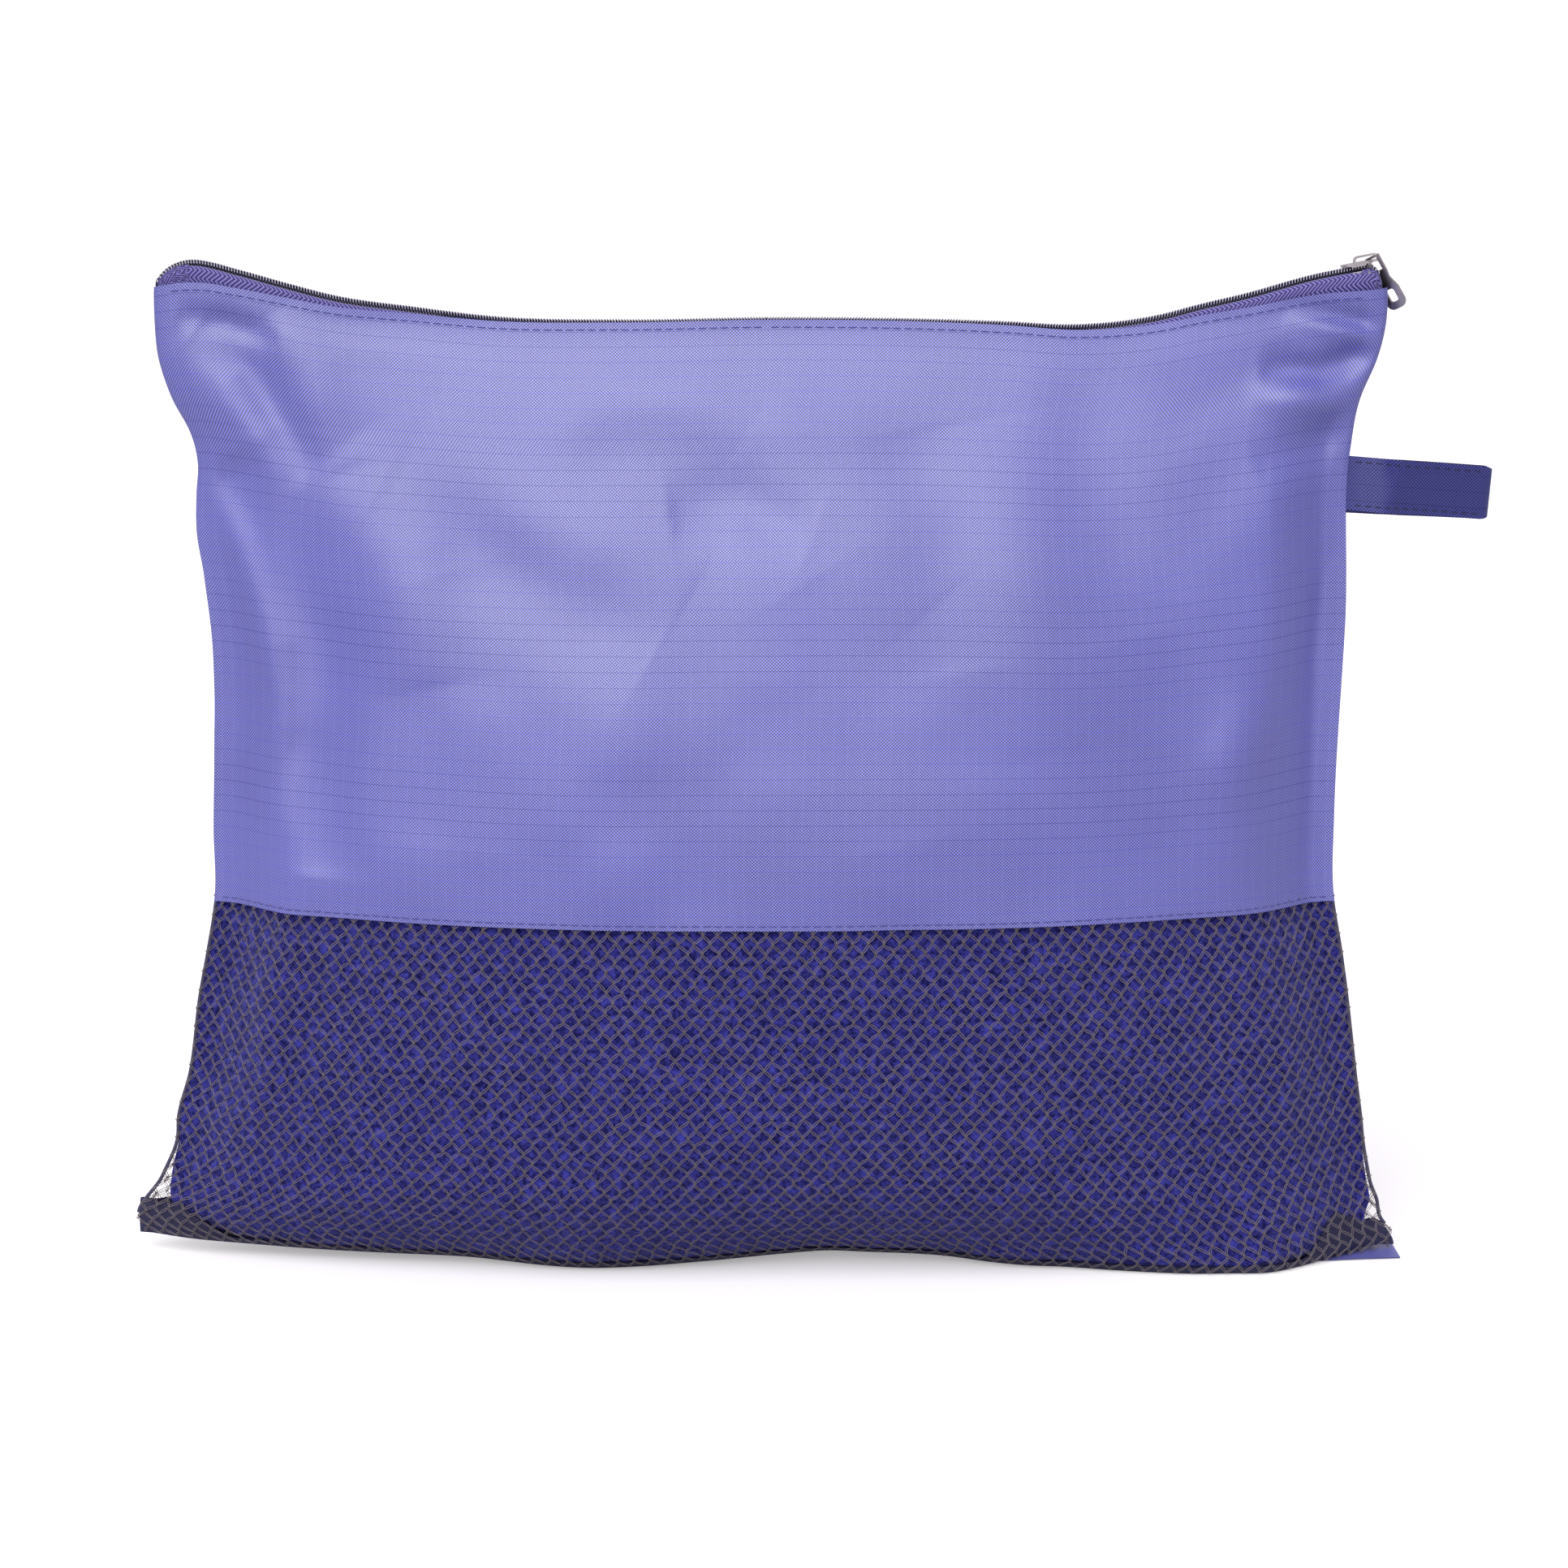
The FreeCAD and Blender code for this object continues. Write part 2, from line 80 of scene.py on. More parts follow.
def curve_through(table):
    """Smooth curve through (position, value) pairs in millimetres, as a function in metres."""
    p, v = np.array(table, float).T
    slope = np.gradient(v, p)
    fine = np.linspace(p[0], p[-1], 1200)
    i = np.clip(np.searchsorted(p, fine, side="right") - 1, 0, len(p) - 2)
    h = p[i + 1] - p[i]
    t = (fine - p[i]) / h
    values = ((1 + 2 * t) * (1 - t) ** 2 * v[i] + t * (1 - t) ** 2 * h * slope[i]
              + t * t * (3 - 2 * t) * v[i + 1] + t * t * (t - 1) * h * slope[i + 1])
    return lambda x: np.interp(x, fine * MM, values * MM)


# By height: half width, half depth at the middle, and half gap at the side seam, as in the CAD model.
half_width = curve_through((
    (0, 203), (6, 206), (24, 199), (45, 193.5), (90, 186), (145, 180.5), (206, 181.5), (262, 183),
    (280, 188), (298, 192), (325, 192)))
depth_at = curve_through((
    (0, 20), (10, 31), (40, 42), (110, 48), (180, 44), (235, 30), (264, 19), (290, 9), (302, 6.2),
    (325, 6.2)))
seam_at = curve_through(((0, 1.3), (240, 1.3), (285, 5.9), (325, 5.9)))
# By distance along x: how far the zip leaves its arc. By height: how far each side leaves half_width.
chain_sag = curve_through((
    (-192, 0.5), (-184, 2.4), (-176, 3.2), (-165, 2.4), (-149, 0.6), (-136, -0.8), (-110, -1.2),
    (-85, -1.6), (-45, 0.1), (0, 1.9), (40, 0.8), (75, -2.3), (97, -5.2), (123, -5.2), (136, -3.6),
    (150, -2.4), (170, -0.2), (192, 0)))
left_shift = curve_through((
    (0, 0), (12, 0), (25, -1), (38, -2.4), (45, -1.3), (60, -2.5), (86, -2.6), (100, -3.6), (120, -4.7),
    (140, -3.2), (165, -3.6), (185, -4.8), (206, -4.9), (222, -3), (237, -0.6), (248, -1.2), (258, -3),
    (268, -3), (278, -0.8), (290, 0), (300, -0.8), (325, -0.8)))
right_shift = curve_through((
    (0, 0), (4, 0), (11, -4.5), (18, -2.5), (25, -1.6), (38, -0.5), (45, 0.3), (60, 1.1), (100, 1.2),
    (120, 0), (145, 1.4), (206, 2.2), (240, 2.2), (262, 0.8), (278, -1), (290, 0.8), (300, 1.5),
    (325, 1.5)))
# By x: extra depth near the floor, and lift of the bottom edge off the table.
foot = curve_through((
    (-206, 0), (-175, -2), (-149, -2), (-97, -1), (-58, 3), (-19, -1), (6, -5), (19, -7), (32, -6),
    (58, -4), (84, 2), (97, 4), (110, 8), (123, 12), (136, 16), (149, 19), (162, 23), (175, 19),
    (188, 14), (206, 0)))
bottom_lift = curve_through((
    (-206, 6), (-188, 4.6), (-160, 3.4), (-149, 3), (-123, 2.4), (-97, 2), (-71, 0.4), (-58, 0),
    (-45, 0.2), (-19, 1.4), (6, 2.8), (19, 3.2), (32, 3), (58, 2), (71, 0.8), (84, 0.2), (97, 0),
    (206, 0)))
# By height: gap between the fleece and the side seams.
left_gap = curve_through((
    (0, 32), (6, 19), (14, 9.5), (20, 5), (28, 2.2), (36, 0.9), (48, 0.8), (80, 0.8), (108, 0.8),
    (118, 0.9), (124, 4), (140, 4), (259, 4)))
right_gap = curve_through((
    (0, 24), (6, 10), (14, 4), (20, 1.8), (28, 1.2), (36, 0.8), (48, 0.7), (80, 0.7), (108, 0.8),
    (118, 0.9), (124, 4), (140, 4), (259, 4)))


def unit(vectors):
    return vectors / (np.linalg.norm(vectors, axis=-1, keepdims=True) + 1e-12)


def xyz(x, y, z):
    return np.stack(np.broadcast_arrays(x, y, z), axis=-1)


def ramped(value, start, reach):
    """Rises evenly from 0 at start to 1 at start + reach."""
    return np.clip((value - start) / reach, 0, 1)


def eased(value, start, reach):
    """The same rise with smooth ends."""
    t = ramped(value, start, reach)
    return t * t * (3 - 2 * t)


def grid_quads(n, m, start=0, flip=False):
    """Point numbers of the quads of an n x m grid whose first point has the number start."""
    i, j = np.meshgrid(np.arange(n - 1), np.arange(m - 1), indexing="ij")
    a = (i * m + j).ravel() + start
    quads = np.stack([a, a + m, a + m + 1, a + 1], axis=1)
    return quads[:, ::-1] if flip else quads


def run_along(path):
    """Distance of every point of a path from its start, along the path."""
    return np.r_[0, np.cumsum(np.linalg.norm(np.diff(path, axis=0), axis=-1))]


def near_floor(z):
    return np.clip(1 - z / NEAR_FLOOR, 0, 1) ** 2


def edge(x, z):
    """Half width of the pouch on the side where x lies."""
    return half_width(z) + np.where(x < 0, left_shift(z), right_shift(z))


def chain_height(x):
    """Middle of the closed coil above the table."""
    return ARC_CENTRE - np.sqrt(ARC_RADIUS ** 2 - x * x) + chain_sag(x)


def panel_top(x):
    """Top edge of a ripstop panel: just above the coil in the middle, lower at the corners."""
    share = np.minimum(np.abs(x) / CHAIN_END, 1.02)
    return chain_height(x) + (0.3 - 7.3 * share ** 3.2) * MM


# Noise and relief

HASH_PRIMES = (73856093, 19349663, 83492791)


def noise(points, size, seed):
    """Smooth noise from -1 to 1 with cells of the given size, for an array of points."""
    p = points / size
    cell = np.floor(p).astype(np.int64)
    f = p - cell
    f = f * f * f * (f * (f * 6 - 15) + 10)
    total = 0
    for corner in np.ndindex(2, 2, 2):
        c = cell + np.array(corner)
        key = np.bitwise_xor.reduce(c * HASH_PRIMES, axis=-1) ^ (seed * 40503)
        key = ((key ^ (key >> 13)) * 1274126177) & 0xffffffff
        value = ((key ^ (key >> 16)) & 0xffff) / 32767.5 - 1
        total = total + value * np.prod(np.where(np.array(corner, bool), f, 1 - f), axis=-1)
    return total


def crease(x, z, points, width, depth):
    """A valley, or a ridge for a negative depth, along a given line; it fades at its ends."""
    knots = np.array(points).reshape(-1, 2) * MM
    lengths = np.linalg.norm(np.diff(knots, axis=0), axis=1)
    near, share, run = np.full(np.shape(x), 1e9), np.zeros(np.shape(x)), 0.0
    for (ax, az), (bx, bz), length in zip(knots, knots[1:], lengths):
        t = np.clip(((x - ax) * (bx - ax) + (z - az) * (bz - az)) / length ** 2, 0, 1)
        gap = (x - ax - t * (bx - ax)) ** 2 + (z - az - t * (bz - az)) ** 2
        share = np.where(gap < near, (run + t * length) / lengths.sum(), share)
        near = np.minimum(near, gap)
        run += length
    return -depth * MM * np.exp(-near / (width * MM) ** 2) * np.clip(4 * share * (1 - share), 0, 1) ** 0.7


# Each crease is its line as x, z, x, z and so on, its width and its depth, in millimetres.
FRONT_CREASES = (
    ((-186, 272, -175, 250, -170, 241, -164, 226, -159, 209, -154, 186, -155, 140), 5.5, -1.9),
    ((-166, 262, -150, 228, -142, 204, -140, 178, -142, 130), 13, 6),
    ((-134, 262, -114, 230, -106, 190), 16, -2.6),
    ((-184, 304, -168, 302, -152, 296), 4.5, 2.6),
    ((-178, 300, -162, 288, -154, 274, -140, 254), 7, 3),
    ((-186, 296, -179, 278, -168, 254), 6.5, -1.3),
    ((-154, 304, -142, 286, -132, 256), 10, -2.2),
    ((-122, 248, -80, 226, -36, 200), 15, 2.4),
    ((-110, 262, -66, 242, -24, 218), 16, -1.8),
    ((-30, 244, -8, 247, 14, 238), 10, 2.4),
    ((-6, 268, 24, 248, 52, 216), 18, -0.9),
    ((-46, 206, -52, 160, -54, 110), 18, -0.8),
    ((46, 270, 54, 232, 60, 196), 16, 1.2),
    ((70, 272, 78, 232, 84, 170), 18, -1.4),
    ((14, 224, 34, 190, 44, 144), 19, 1),
    ((102, 304, 102, 262, 114, 206), 16, 1.8),
    ((156, 308, 176, 304, 186, 302, 200, 297), 3.6, 3),
    ((162, 305, 182, 299, 200, 292), 3.4, -2.2),
    ((200, 291, 183, 291, 172, 287, 154, 288), 5, 4.6),
    ((200, 281, 176, 277, 150, 280), 5.5, -2.4),
    ((196, 272, 174, 266, 152, 258), 7, 2.8),
    ((194, 268, 186, 200, 192, 110), 22, 4.5),
    ((-90, 140, -86, 190, -96, 226), 22, 1),
    ((118, 120, 116, 170, 126, 216), 20, 1.6),
)
BACK_CREASES = (
    ((182, 262, 162, 236, 150, 190, 146, 140), 10, 3.6),
    ((-184, 292, -168, 284, -146, 286), 5, 2.6),
    ((-120, 294, -100, 262, -96, 215), 13, 2.4),
    ((-40, 290, -20, 255, -26, 210), 15, 2.4),
    ((30, 292, 52, 262, 58, 215), 14, 2.2),
    ((110, 294, 96, 264, 84, 225), 12, 2.6),
    ((-176, 240, -166, 200, -160, 150), 8, 2.4),
)


# Cloth simulation

SIM_COLUMNS, SIM_ROWS = 92, 72
SIM_WIDTH, SIM_HEIGHT = 412 * MM, 325 * MM
SIM_FRAMES = 22


def inflated_pouch():
    """Blows up a flat sewn pouch and returns its front and back as two grids of points."""
    n, m = SIM_COLUMNS + 1, SIM_ROWS + 1
    front = np.arange(n * m).reshape(n, m)
    back = front.copy()
    back[1:-1, 1:-1] = n * m + np.arange((n - 2) * (m - 2)).reshape(n - 2, m - 2)
    u = np.linspace(-1, 1, n)[:, None]
    v = np.linspace(0, 1, m)[None, :]
    swell = 3 * MM * (1 - u ** 4) * (1 - (2 * v - 1) ** 4)
    rear = xyz(u * SIM_WIDTH / 2, swell, v * SIM_HEIGHT)
    coords = np.concatenate([(rear * (1, -1, 1)).reshape(-1, 3), rear[1:-1, 1:-1].reshape(-1, 3)])
    quads = grid_quads(n, m)
    faces = np.concatenate([quads, back.ravel()[quads][:, ::-1]])
    mesh = bpy.data.meshes.new("pouch_sim")
    mesh.from_pydata(coords.tolist(), [], faces.tolist())
    pouch = bpy.data.objects.new("pouch_sim", mesh)
    scene = bpy.context.scene
    scene.collection.objects.link(pouch)
    cloth = pouch.modifiers.new("cloth", "CLOTH").settings
    cloth.quality = 5
    cloth.mass = 0.25
    cloth.tension_stiffness = cloth.compression_stiffness = 25
    cloth.shear_stiffness = 12
    cloth.bending_stiffness = 0.35
    cloth.use_pressure = True
    cloth.uniform_pressure_force = 3.2
    cloth.effector_weights.gravity = 0
    for step in range(1, SIM_FRAMES + 1):
        scene.frame_set(step)
    settled = pouch.evaluated_get(bpy.context.evaluated_depsgraph_get()).data
    flat = np.empty(len(settled.vertices) * 3)
    settled.vertices.foreach_get("co", flat)
    points = flat.reshape(-1, 3)
    scene.frame_set(1)
    bpy.data.objects.remove(pouch)
    bpy.data.meshes.remove(mesh)
    return {FRONT: points[front], BACK: points[back]}


def blurred(grid, passes):
    for _ in range(passes):
        padded = np.pad(grid, 1, mode="edge")
        grid = (padded[:-2, 1:-1] + padded[2:, 1:-1] + padded[1:-1, :-2] + padded[1:-1, 2:]
                + 2 * grid) / 6
    return grid


def simulated_relief():
    """The simulated pouch's puckers and dents, without its overall bulge."""
    relief, most = {}, 3.5 * MM
    for side, grid in inflated_pouch().items():
        out = side * grid[..., 1]
        relief[side] = np.clip(blurred(out, 2) - blurred(out, 36), -most, most)
    return relief


RELIEF = simulated_relief()


def bilinear(grid, a, b):
    """Reads a grid at fractions a and b from 0 to 1."""
    n, m = grid.shape[0] - 1, grid.shape[1] - 1
    p, q = np.clip(a, 0, 1) * n, np.clip(b, 0, 1) * m
    i = np.minimum(p.astype(int), n - 1)
    j = np.minimum(q.astype(int), m - 1)
    p, q = p - i, q - j
    if grid.ndim == 3:
        p, q = p[..., None], q[..., None]
    return ((1 - p) * (1 - q) * grid[i, j] + p * (1 - q) * grid[i + 1, j]
            + (1 - p) * q * grid[i, j + 1] + p * q * grid[i + 1, j + 1])


# The pouch's surface

def half_depth(x, z, side=FRONT):
    """Outer face of the filled pouch without its folds."""
    across = np.minimum(np.abs(x) / edge(x, z), 1)
    crown = (1 - across ** CROWN_POWER) ** CROWN_ROUND
    seam = seam_at(z)
    depth = seam + np.maximum(depth_at(z) - seam, 0) * crown
    depth = depth + foot(x) * near_floor(z) * (1 - across ** 6) * (1 if side == FRONT else 0.4)
    under = np.sqrt(1 - np.clip(1 - z / (4 * MM), 0, 1) ** 2)
    depth = depth * (0.92 + 0.08 * under)
    return SEAM_HALF + np.maximum(depth - SEAM_HALF, 0) * np.sqrt(1 - across ** EDGE_ROUND)


def skin_depth(side, x, z):
    """Outer face of the filled pouch with its folds."""
    return np.maximum(half_depth(x, z, side) + folds(side, x, z), SEAM_HALF * 0.6)


def folds(side, x, z):
    """Puckers from the simulation, listed creases and slow unevenness."""
    x, z = np.broadcast_arrays(x, z)
    u = x / edge(x, z)
    inward = edge(x, z) - np.abs(x)
    below_zip = chain_height(x) - z
    soft = ramped(inward, 0, 26 * MM) * ramped(below_zip, 0, 34 * MM)
    rise = 1.2 * bilinear(RELIEF[side], (u + 1) / 2, z / SIM_HEIGHT) * soft
    for points, width, depth in (FRONT_CREASES if side == FRONT else BACK_CREASES):
        rise = rise + crease(x, z, points, width, depth)
    place = xyz(x, side * 0.3, z)
    rise = rise + (1.6 * MM * noise(place, 0.06, 3) + 0.7 * MM * noise(place, 0.022, 4)) * soft
    fade = ramped(inward, 0, 8 * MM) * np.clip(below_zip / (14 * MM), 0.1, 1)
    return rise * fade * np.clip((z - 2 * MM) / (25 * MM), 0.1, 1)


def surface(side, x, z, out=0.0):
    """Points of the pouch's outer face, moved outwards by out."""
    raised = z + bottom_lift(x) * near_floor(z)
    return xyz(x, side * (skin_depth(side, x, z) + out), raised)


def even_rows(grid):
    """Moves a grid's points along its columns' direction so that they are evenly spaced."""
    step = np.linalg.norm(np.diff(grid, axis=0), axis=-1)
    run = np.concatenate([np.zeros((1, grid.shape[1])), np.cumsum(step, axis=0)])
    even = np.empty_like(grid)
    share = np.linspace(0, 1, grid.shape[0])
    for j in range(grid.shape[1]):
        for k in range(3):
            even[:, j, k] = np.interp(share * run[-1, j], run[:, j], grid[:, j, k])
    return even


def patch(side, low, high, columns, rows, out=0.0):
    """A grid of points on the pouch between a height and one given as a function of x."""
    u = np.linspace(-1, 1, columns + 1)[:, None]
    v = np.linspace(0, 1, rows + 1)[None, :]
    z = 0.15    # a first guess, which the rounds below settle
    for _ in range(4):
        x = u * edge(u, z)
        z = low + (high(x) - low) * v
    grid = even_rows(xyz(x, side * half_depth(x, z, side), z))
    return surface(side, grid[..., 0], grid[..., 2], out)


def grid_normals(grid):
    return unit(np.cross(np.gradient(grid, axis=0), np.gradient(grid, axis=1)))


def normals_of(grid, side):
    """Normals of a grid on one face, pointing outwards."""
    normal = grid_normals(grid)
    return normal * np.where((normal[..., 1:2] * side) < 0, -1, 1)


# Mesh building

def add_object(name, mesh, material):
    piece = bpy.data.objects.new(name, mesh)
    bpy.context.scene.collection.objects.link(piece)
    mesh.materials.append(material)
    return piece


def make_mesh(name, points, material, *groups):
    """A smooth mesh; its faces come in arrays of point numbers, one array for each kind of polygon."""
    groups = [np.asarray(group, np.int32) for group in groups]
    corners = np.concatenate([np.full(len(group), group.shape[1], np.int32) for group in groups])
    numbers = np.concatenate([group.ravel() for group in groups])
    mesh = bpy.data.meshes.new(name)
    mesh.vertices.add(len(points))
    mesh.vertices.foreach_set("co", np.asarray(points, np.float32).ravel())
    mesh.loops.add(len(numbers))
    mesh.loops.foreach_set("vertex_index", numbers)
    mesh.polygons.add(len(corners))
    mesh.polygons.foreach_set("loop_start", np.cumsum(corners, dtype=np.int32) - corners)
    mesh.polygons.foreach_set("use_smooth", np.full(len(corners), True))
    mesh.update(calc_edges=True)
    mesh.validate()
    return add_object(name, mesh, material)


def rim_loop(n, m):
    """Point numbers round the border of a grid, in order."""
    k = np.arange(n * m).reshape(n, m)
    return np.concatenate([k[:, 0], k[-1, 1:], k[-2::-1, -1], k[0, -2:0:-1]])


def shell(name, grid, normal, thickness, material, weave=None):
    """A closed sheet of cloth from a grid of points on its outer face."""
    n, m = grid.shape[:2]
    outer = grid.reshape(-1, 3)
    inner = (grid - normal * thickness).reshape(-1, 3)
    count = n * m
    facing = np.cross(grid[1, 0] - grid[0, 0], grid[0, 1] - grid[0, 0]) @ normal[0, 0] > 0
    rim = rim_loop(n, m)
    after = np.roll(rim, -1)
    side = np.stack([rim, rim + count, after + count, after], axis=1)
    if not facing:
        side = side[:, ::-1]
    quads = np.concatenate([grid_quads(n, m, 0, not facing), grid_quads(n, m, count, facing), side])
    piece = make_mesh(name, np.concatenate([outer, inner]), material, quads)
    flat = normal.reshape(-1, 3)
    both = np.concatenate([flat, -flat])
    piece.data.normals_split_custom_set(both[quads.ravel()].tolist())
    if weave is not None:
        layer = piece.data.attributes.new("weave", "FLOAT_VECTOR", "POINT")
        layer.data.foreach_set("vector", np.tile(weave.ravel(), 2).astype(np.float32))
    return piece


def tubes(name, paths, across, radius, sides, material, caps=True):
    """Round threads along paths of shape (count, points, 3); across is a unit vector field."""
    paths = np.asarray(paths, float)
    count, length = paths.shape[:2]
    along = unit(np.gradient(paths, axis=1))
    first = unit(across - along * np.sum(across * along, axis=-1, keepdims=True))
    second = np.cross(along, first)
    angle = (np.arange(sides) / sides * 2 * np.pi)[:, None]
    radius = np.broadcast_to(radius, (count, length))[..., None, None]
    ring = np.cos(angle) * first[..., None, :] + np.sin(angle) * second[..., None, :]
    points = (paths[:, :, None, :] + radius * ring).reshape(-1, 3)
    k = np.arange(count)[:, None, None] * length * sides
    i = np.arange(length - 1)[None, :, None] * sides
    s = np.arange(sides)[None, None, :]
    t = (s + 1) % sides
    quads = np.stack([k + i + s, k + i + t, k + i + sides + t, k + i + sides + s], axis=-1).reshape(-1, 4)
    if not caps:
        return make_mesh(name, points, material, quads)
    fans, thread = [], np.arange(count)[:, None]
    for end, (row, order) in enumerate(((0, 1), (length - 1, -1))):
        ring_index = (thread * length + row) * sides + np.arange(sides)
        tip = np.broadcast_to(len(points) + end * count + thread, ring_index.shape)
        fan = np.stack([tip, np.roll(ring_index, -1, axis=1), ring_index], axis=-1)
        fans.append(fan[..., ::order].reshape(-1, 3))
    points = np.concatenate([points, paths[:, 0], paths[:, -1]])
    return make_mesh(name, points, material, quads, np.concatenate(fans))


# Materials

class Nodes:
    """Short helper that adds shader nodes to a material or a world and joins them."""

    def __init__(self, owner, shader="Principled BSDF"):
        owner.use_nodes = True
        self.owner = owner
        self.tree = owner.node_tree
        self.shader = self.tree.nodes[shader]

    def feed(self, socket, value):
        """Gives a socket a plain value or the output of another node."""
        if hasattr(value, "links"):
            self.tree.links.new(value, socket)
        else:
            socket.default_value = value

    def add(self, kind, inputs=(), **settings):
        node = self.tree.nodes.new(kind)
        for key, value in settings.items():
            setattr(node, key, value)
        for key, value in dict(inputs).items():
            self.feed(node.inputs[key], value)
        return node

    def set(self, **values):
        for key, value in values.items():
            self.feed(self.shader.inputs[key.replace("_", " ")], value)

    def math(self, operation, a, b=0.0, c=0.0):
        return self.add("ShaderNodeMath", {0: a, 1: b, 2: c}, operation=operation).outputs[0]

    def plus(self, a, b):
        return self.math("ADD", a, b)

    def times(self, a, b):
        return self.math("MULTIPLY", a, b)

    def scaled(self, value, factor, offset):
        return self.math("MULTIPLY_ADD", value, factor, offset)

    def mix(self, share, a, b):
        node = self.add("ShaderNodeMix", data_type="RGBA")
        for name, value in (("Factor_Float", share), ("A_Color", a), ("B_Color", b)):
            self.feed(next(s for s in node.inputs if s.identifier == name), value)
        return next(s for s in node.outputs if s.identifier == "Result_Color")

    def ramp(self, value, start, end, first=0.0, last=1.0, **settings):
        """Maps the range from start to end onto the one from first to last."""
        inputs = {0: value, 1: start, 2: end, 3: first, 4: last}
        return self.add("ShaderNodeMapRange", inputs, **settings).outputs[0]

    def bump(self, height, distance, strength):
        node = self.add("ShaderNodeBump", {"Height": height, "Distance": distance, "Strength": strength})
        self.set(Normal=node.outputs[0])

    def place(self, attribute=None):
        if attribute:
            return self.add("ShaderNodeAttribute", attribute_name=attribute).outputs["Vector"]
        return self.add("ShaderNodeTexCoord").outputs["Object"]

    def split(self, vector):
        return self.add("ShaderNodeSeparateXYZ", {0: vector}).outputs

    def speckle(self, vector, scale, detail=2.0):
        inputs = {"Vector": vector, "Scale": scale, "Detail": detail}
        return self.add("ShaderNodeTexNoise", inputs).outputs[0]

    def wave(self, value, pitch):
        """Sine of a coordinate with the given pitch in metres, from -1 to 1."""
        return self.math("SINE", self.times(value, 2 * math.pi / pitch))

    def line(self, value, pitch, width):
        """1 on thin lines at the given pitch, 0 between them."""
        saw = self.math("PINGPONG", value, pitch / 2)
        return self.ramp(saw, 0.0, width, 1.0, 0.0, interpolation_type="SMOOTHSTEP")


def new_material(name):
    return Nodes(bpy.data.materials.new(name))


def srgb(r, g, b):
    linear = [c / 3294.6 if c <= 10.3 else ((c / 255 + 0.055) / 1.055) ** 2.4 for c in (r, g, b)]
    return (*linear, 1.0)


THREAD_PITCH = 1.06 * MM
CROSS_GRID = (5.2 * MM, 0.30 * MM)      # pitch and width of the thicker threads
UPRIGHT_GRID = (4.7 * MM, 0.28 * MM)


def ripstop(name, pale, deep, rib, upright_rib, gloss):
    """Shiny plain weave with a grid of thicker threads; its pale thread dots are partly painted highlights.
    """
    m = new_material(name)
    weave = m.place("weave")
    u, v, _ = m.split(weave)
    cloud = m.speckle(weave, 14.0, 3.0)
    fine = m.speckle(weave, 900.0)
    threads = m.times(m.wave(u, THREAD_PITCH), m.wave(v, THREAD_PITCH))
    across = m.line(v, *CROSS_GRID)
    upright = m.line(u, *UPRIGHT_GRID)
    dotted = m.scaled(m.wave(u, THREAD_PITCH), 0.5, 0.5)
    # The pale thread dots against the deep gaps are partly the weave's own pattern and partly painted
    # highlight on the threads.
    share = m.scaled(threads, 1.8, m.scaled(fine, 0.3, 0.35))
    share = m.scaled(cloud, 0.4, m.math("SUBTRACT", share, 0.20))
    colour = m.mix(share, deep, pale)
    colour = m.mix(m.times(m.times(across, dotted), 0.85), colour, rib)
    colour = m.mix(m.times(upright, 0.14), colour, upright_rib)
    height = m.scaled(threads, 0.8, m.times(across, 0.8))
    m.bump(m.plus(height, m.times(upright, 0.6)), 0.045 * MM, 0.6)
    rough = m.scaled(fine, 0.10, m.scaled(threads, -0.08, 0.42))
    m.set(Base_Color=colour, Roughness=rough, IOR=1.72, Specular_IOR_Level=gloss)
    return m.owner


def thread_material(name, colour, dark):
    m = new_material(name)
    fibre = m.speckle(m.place(), 1500.0)
    m.bump(fibre, 0.08 * MM, 0.6)
    m.set(Base_Color=m.mix(fibre, dark, colour), Roughness=0.62, Sheen_Weight=0.25)
    return m.owner


def net_material():
    m = new_material("net_thread")
    where = m.place()
    slow = m.speckle(where, 60.0, 3.0)
    fibre = m.speckle(where, 2200.0)
    colour = m.mix(slow, srgb(116, 106, 112), srgb(155, 143, 149))
    colour = m.mix(m.times(fibre, 0.6), colour, srgb(48, 42, 52))
    m.bump(fibre, 0.06 * MM, 0.5)
    m.set(Base_Color=colour, Roughness=0.42, Specular_IOR_Level=0.5, Sheen_Weight=0.2)
    return m.owner


def fleece_material():
    m = new_material("fleece")
    where = m.place()
    tufts = m.speckle(where, 800.0, 4.0)
    clumps_and_highlight = m.speckle(where, 360.0)
    fibre = m.add("ShaderNodeTexVoronoi", {"Vector": where, "Scale": 1500.0}).outputs[0]
    colour = m.mix(m.ramp(tufts, 0.36, 0.64), srgb(16, 16, 78), srgb(60, 58, 152))
    # Raised clumps turn a lighter blue: painted highlight, partly the nap's own uneven tone.
    colour = m.mix(m.times(m.ramp(clumps_and_highlight, 0.50, 0.72), 0.58), colour, srgb(84, 84, 206))
    height = m.plus(m.times(clumps_and_highlight, 1.2), m.times(fibre, 0.5))
    m.bump(m.plus(height, m.times(tufts, 0.7)), 0.9 * MM, 0.8)
    m.set(Base_Color=colour, Roughness=0.95, Specular_IOR_Level=0.1, Sheen_Weight=0.35,
          Sheen_Roughness=0.5, Sheen_Tint=(0.5, 0.5, 1.0, 1))
    return m.owner


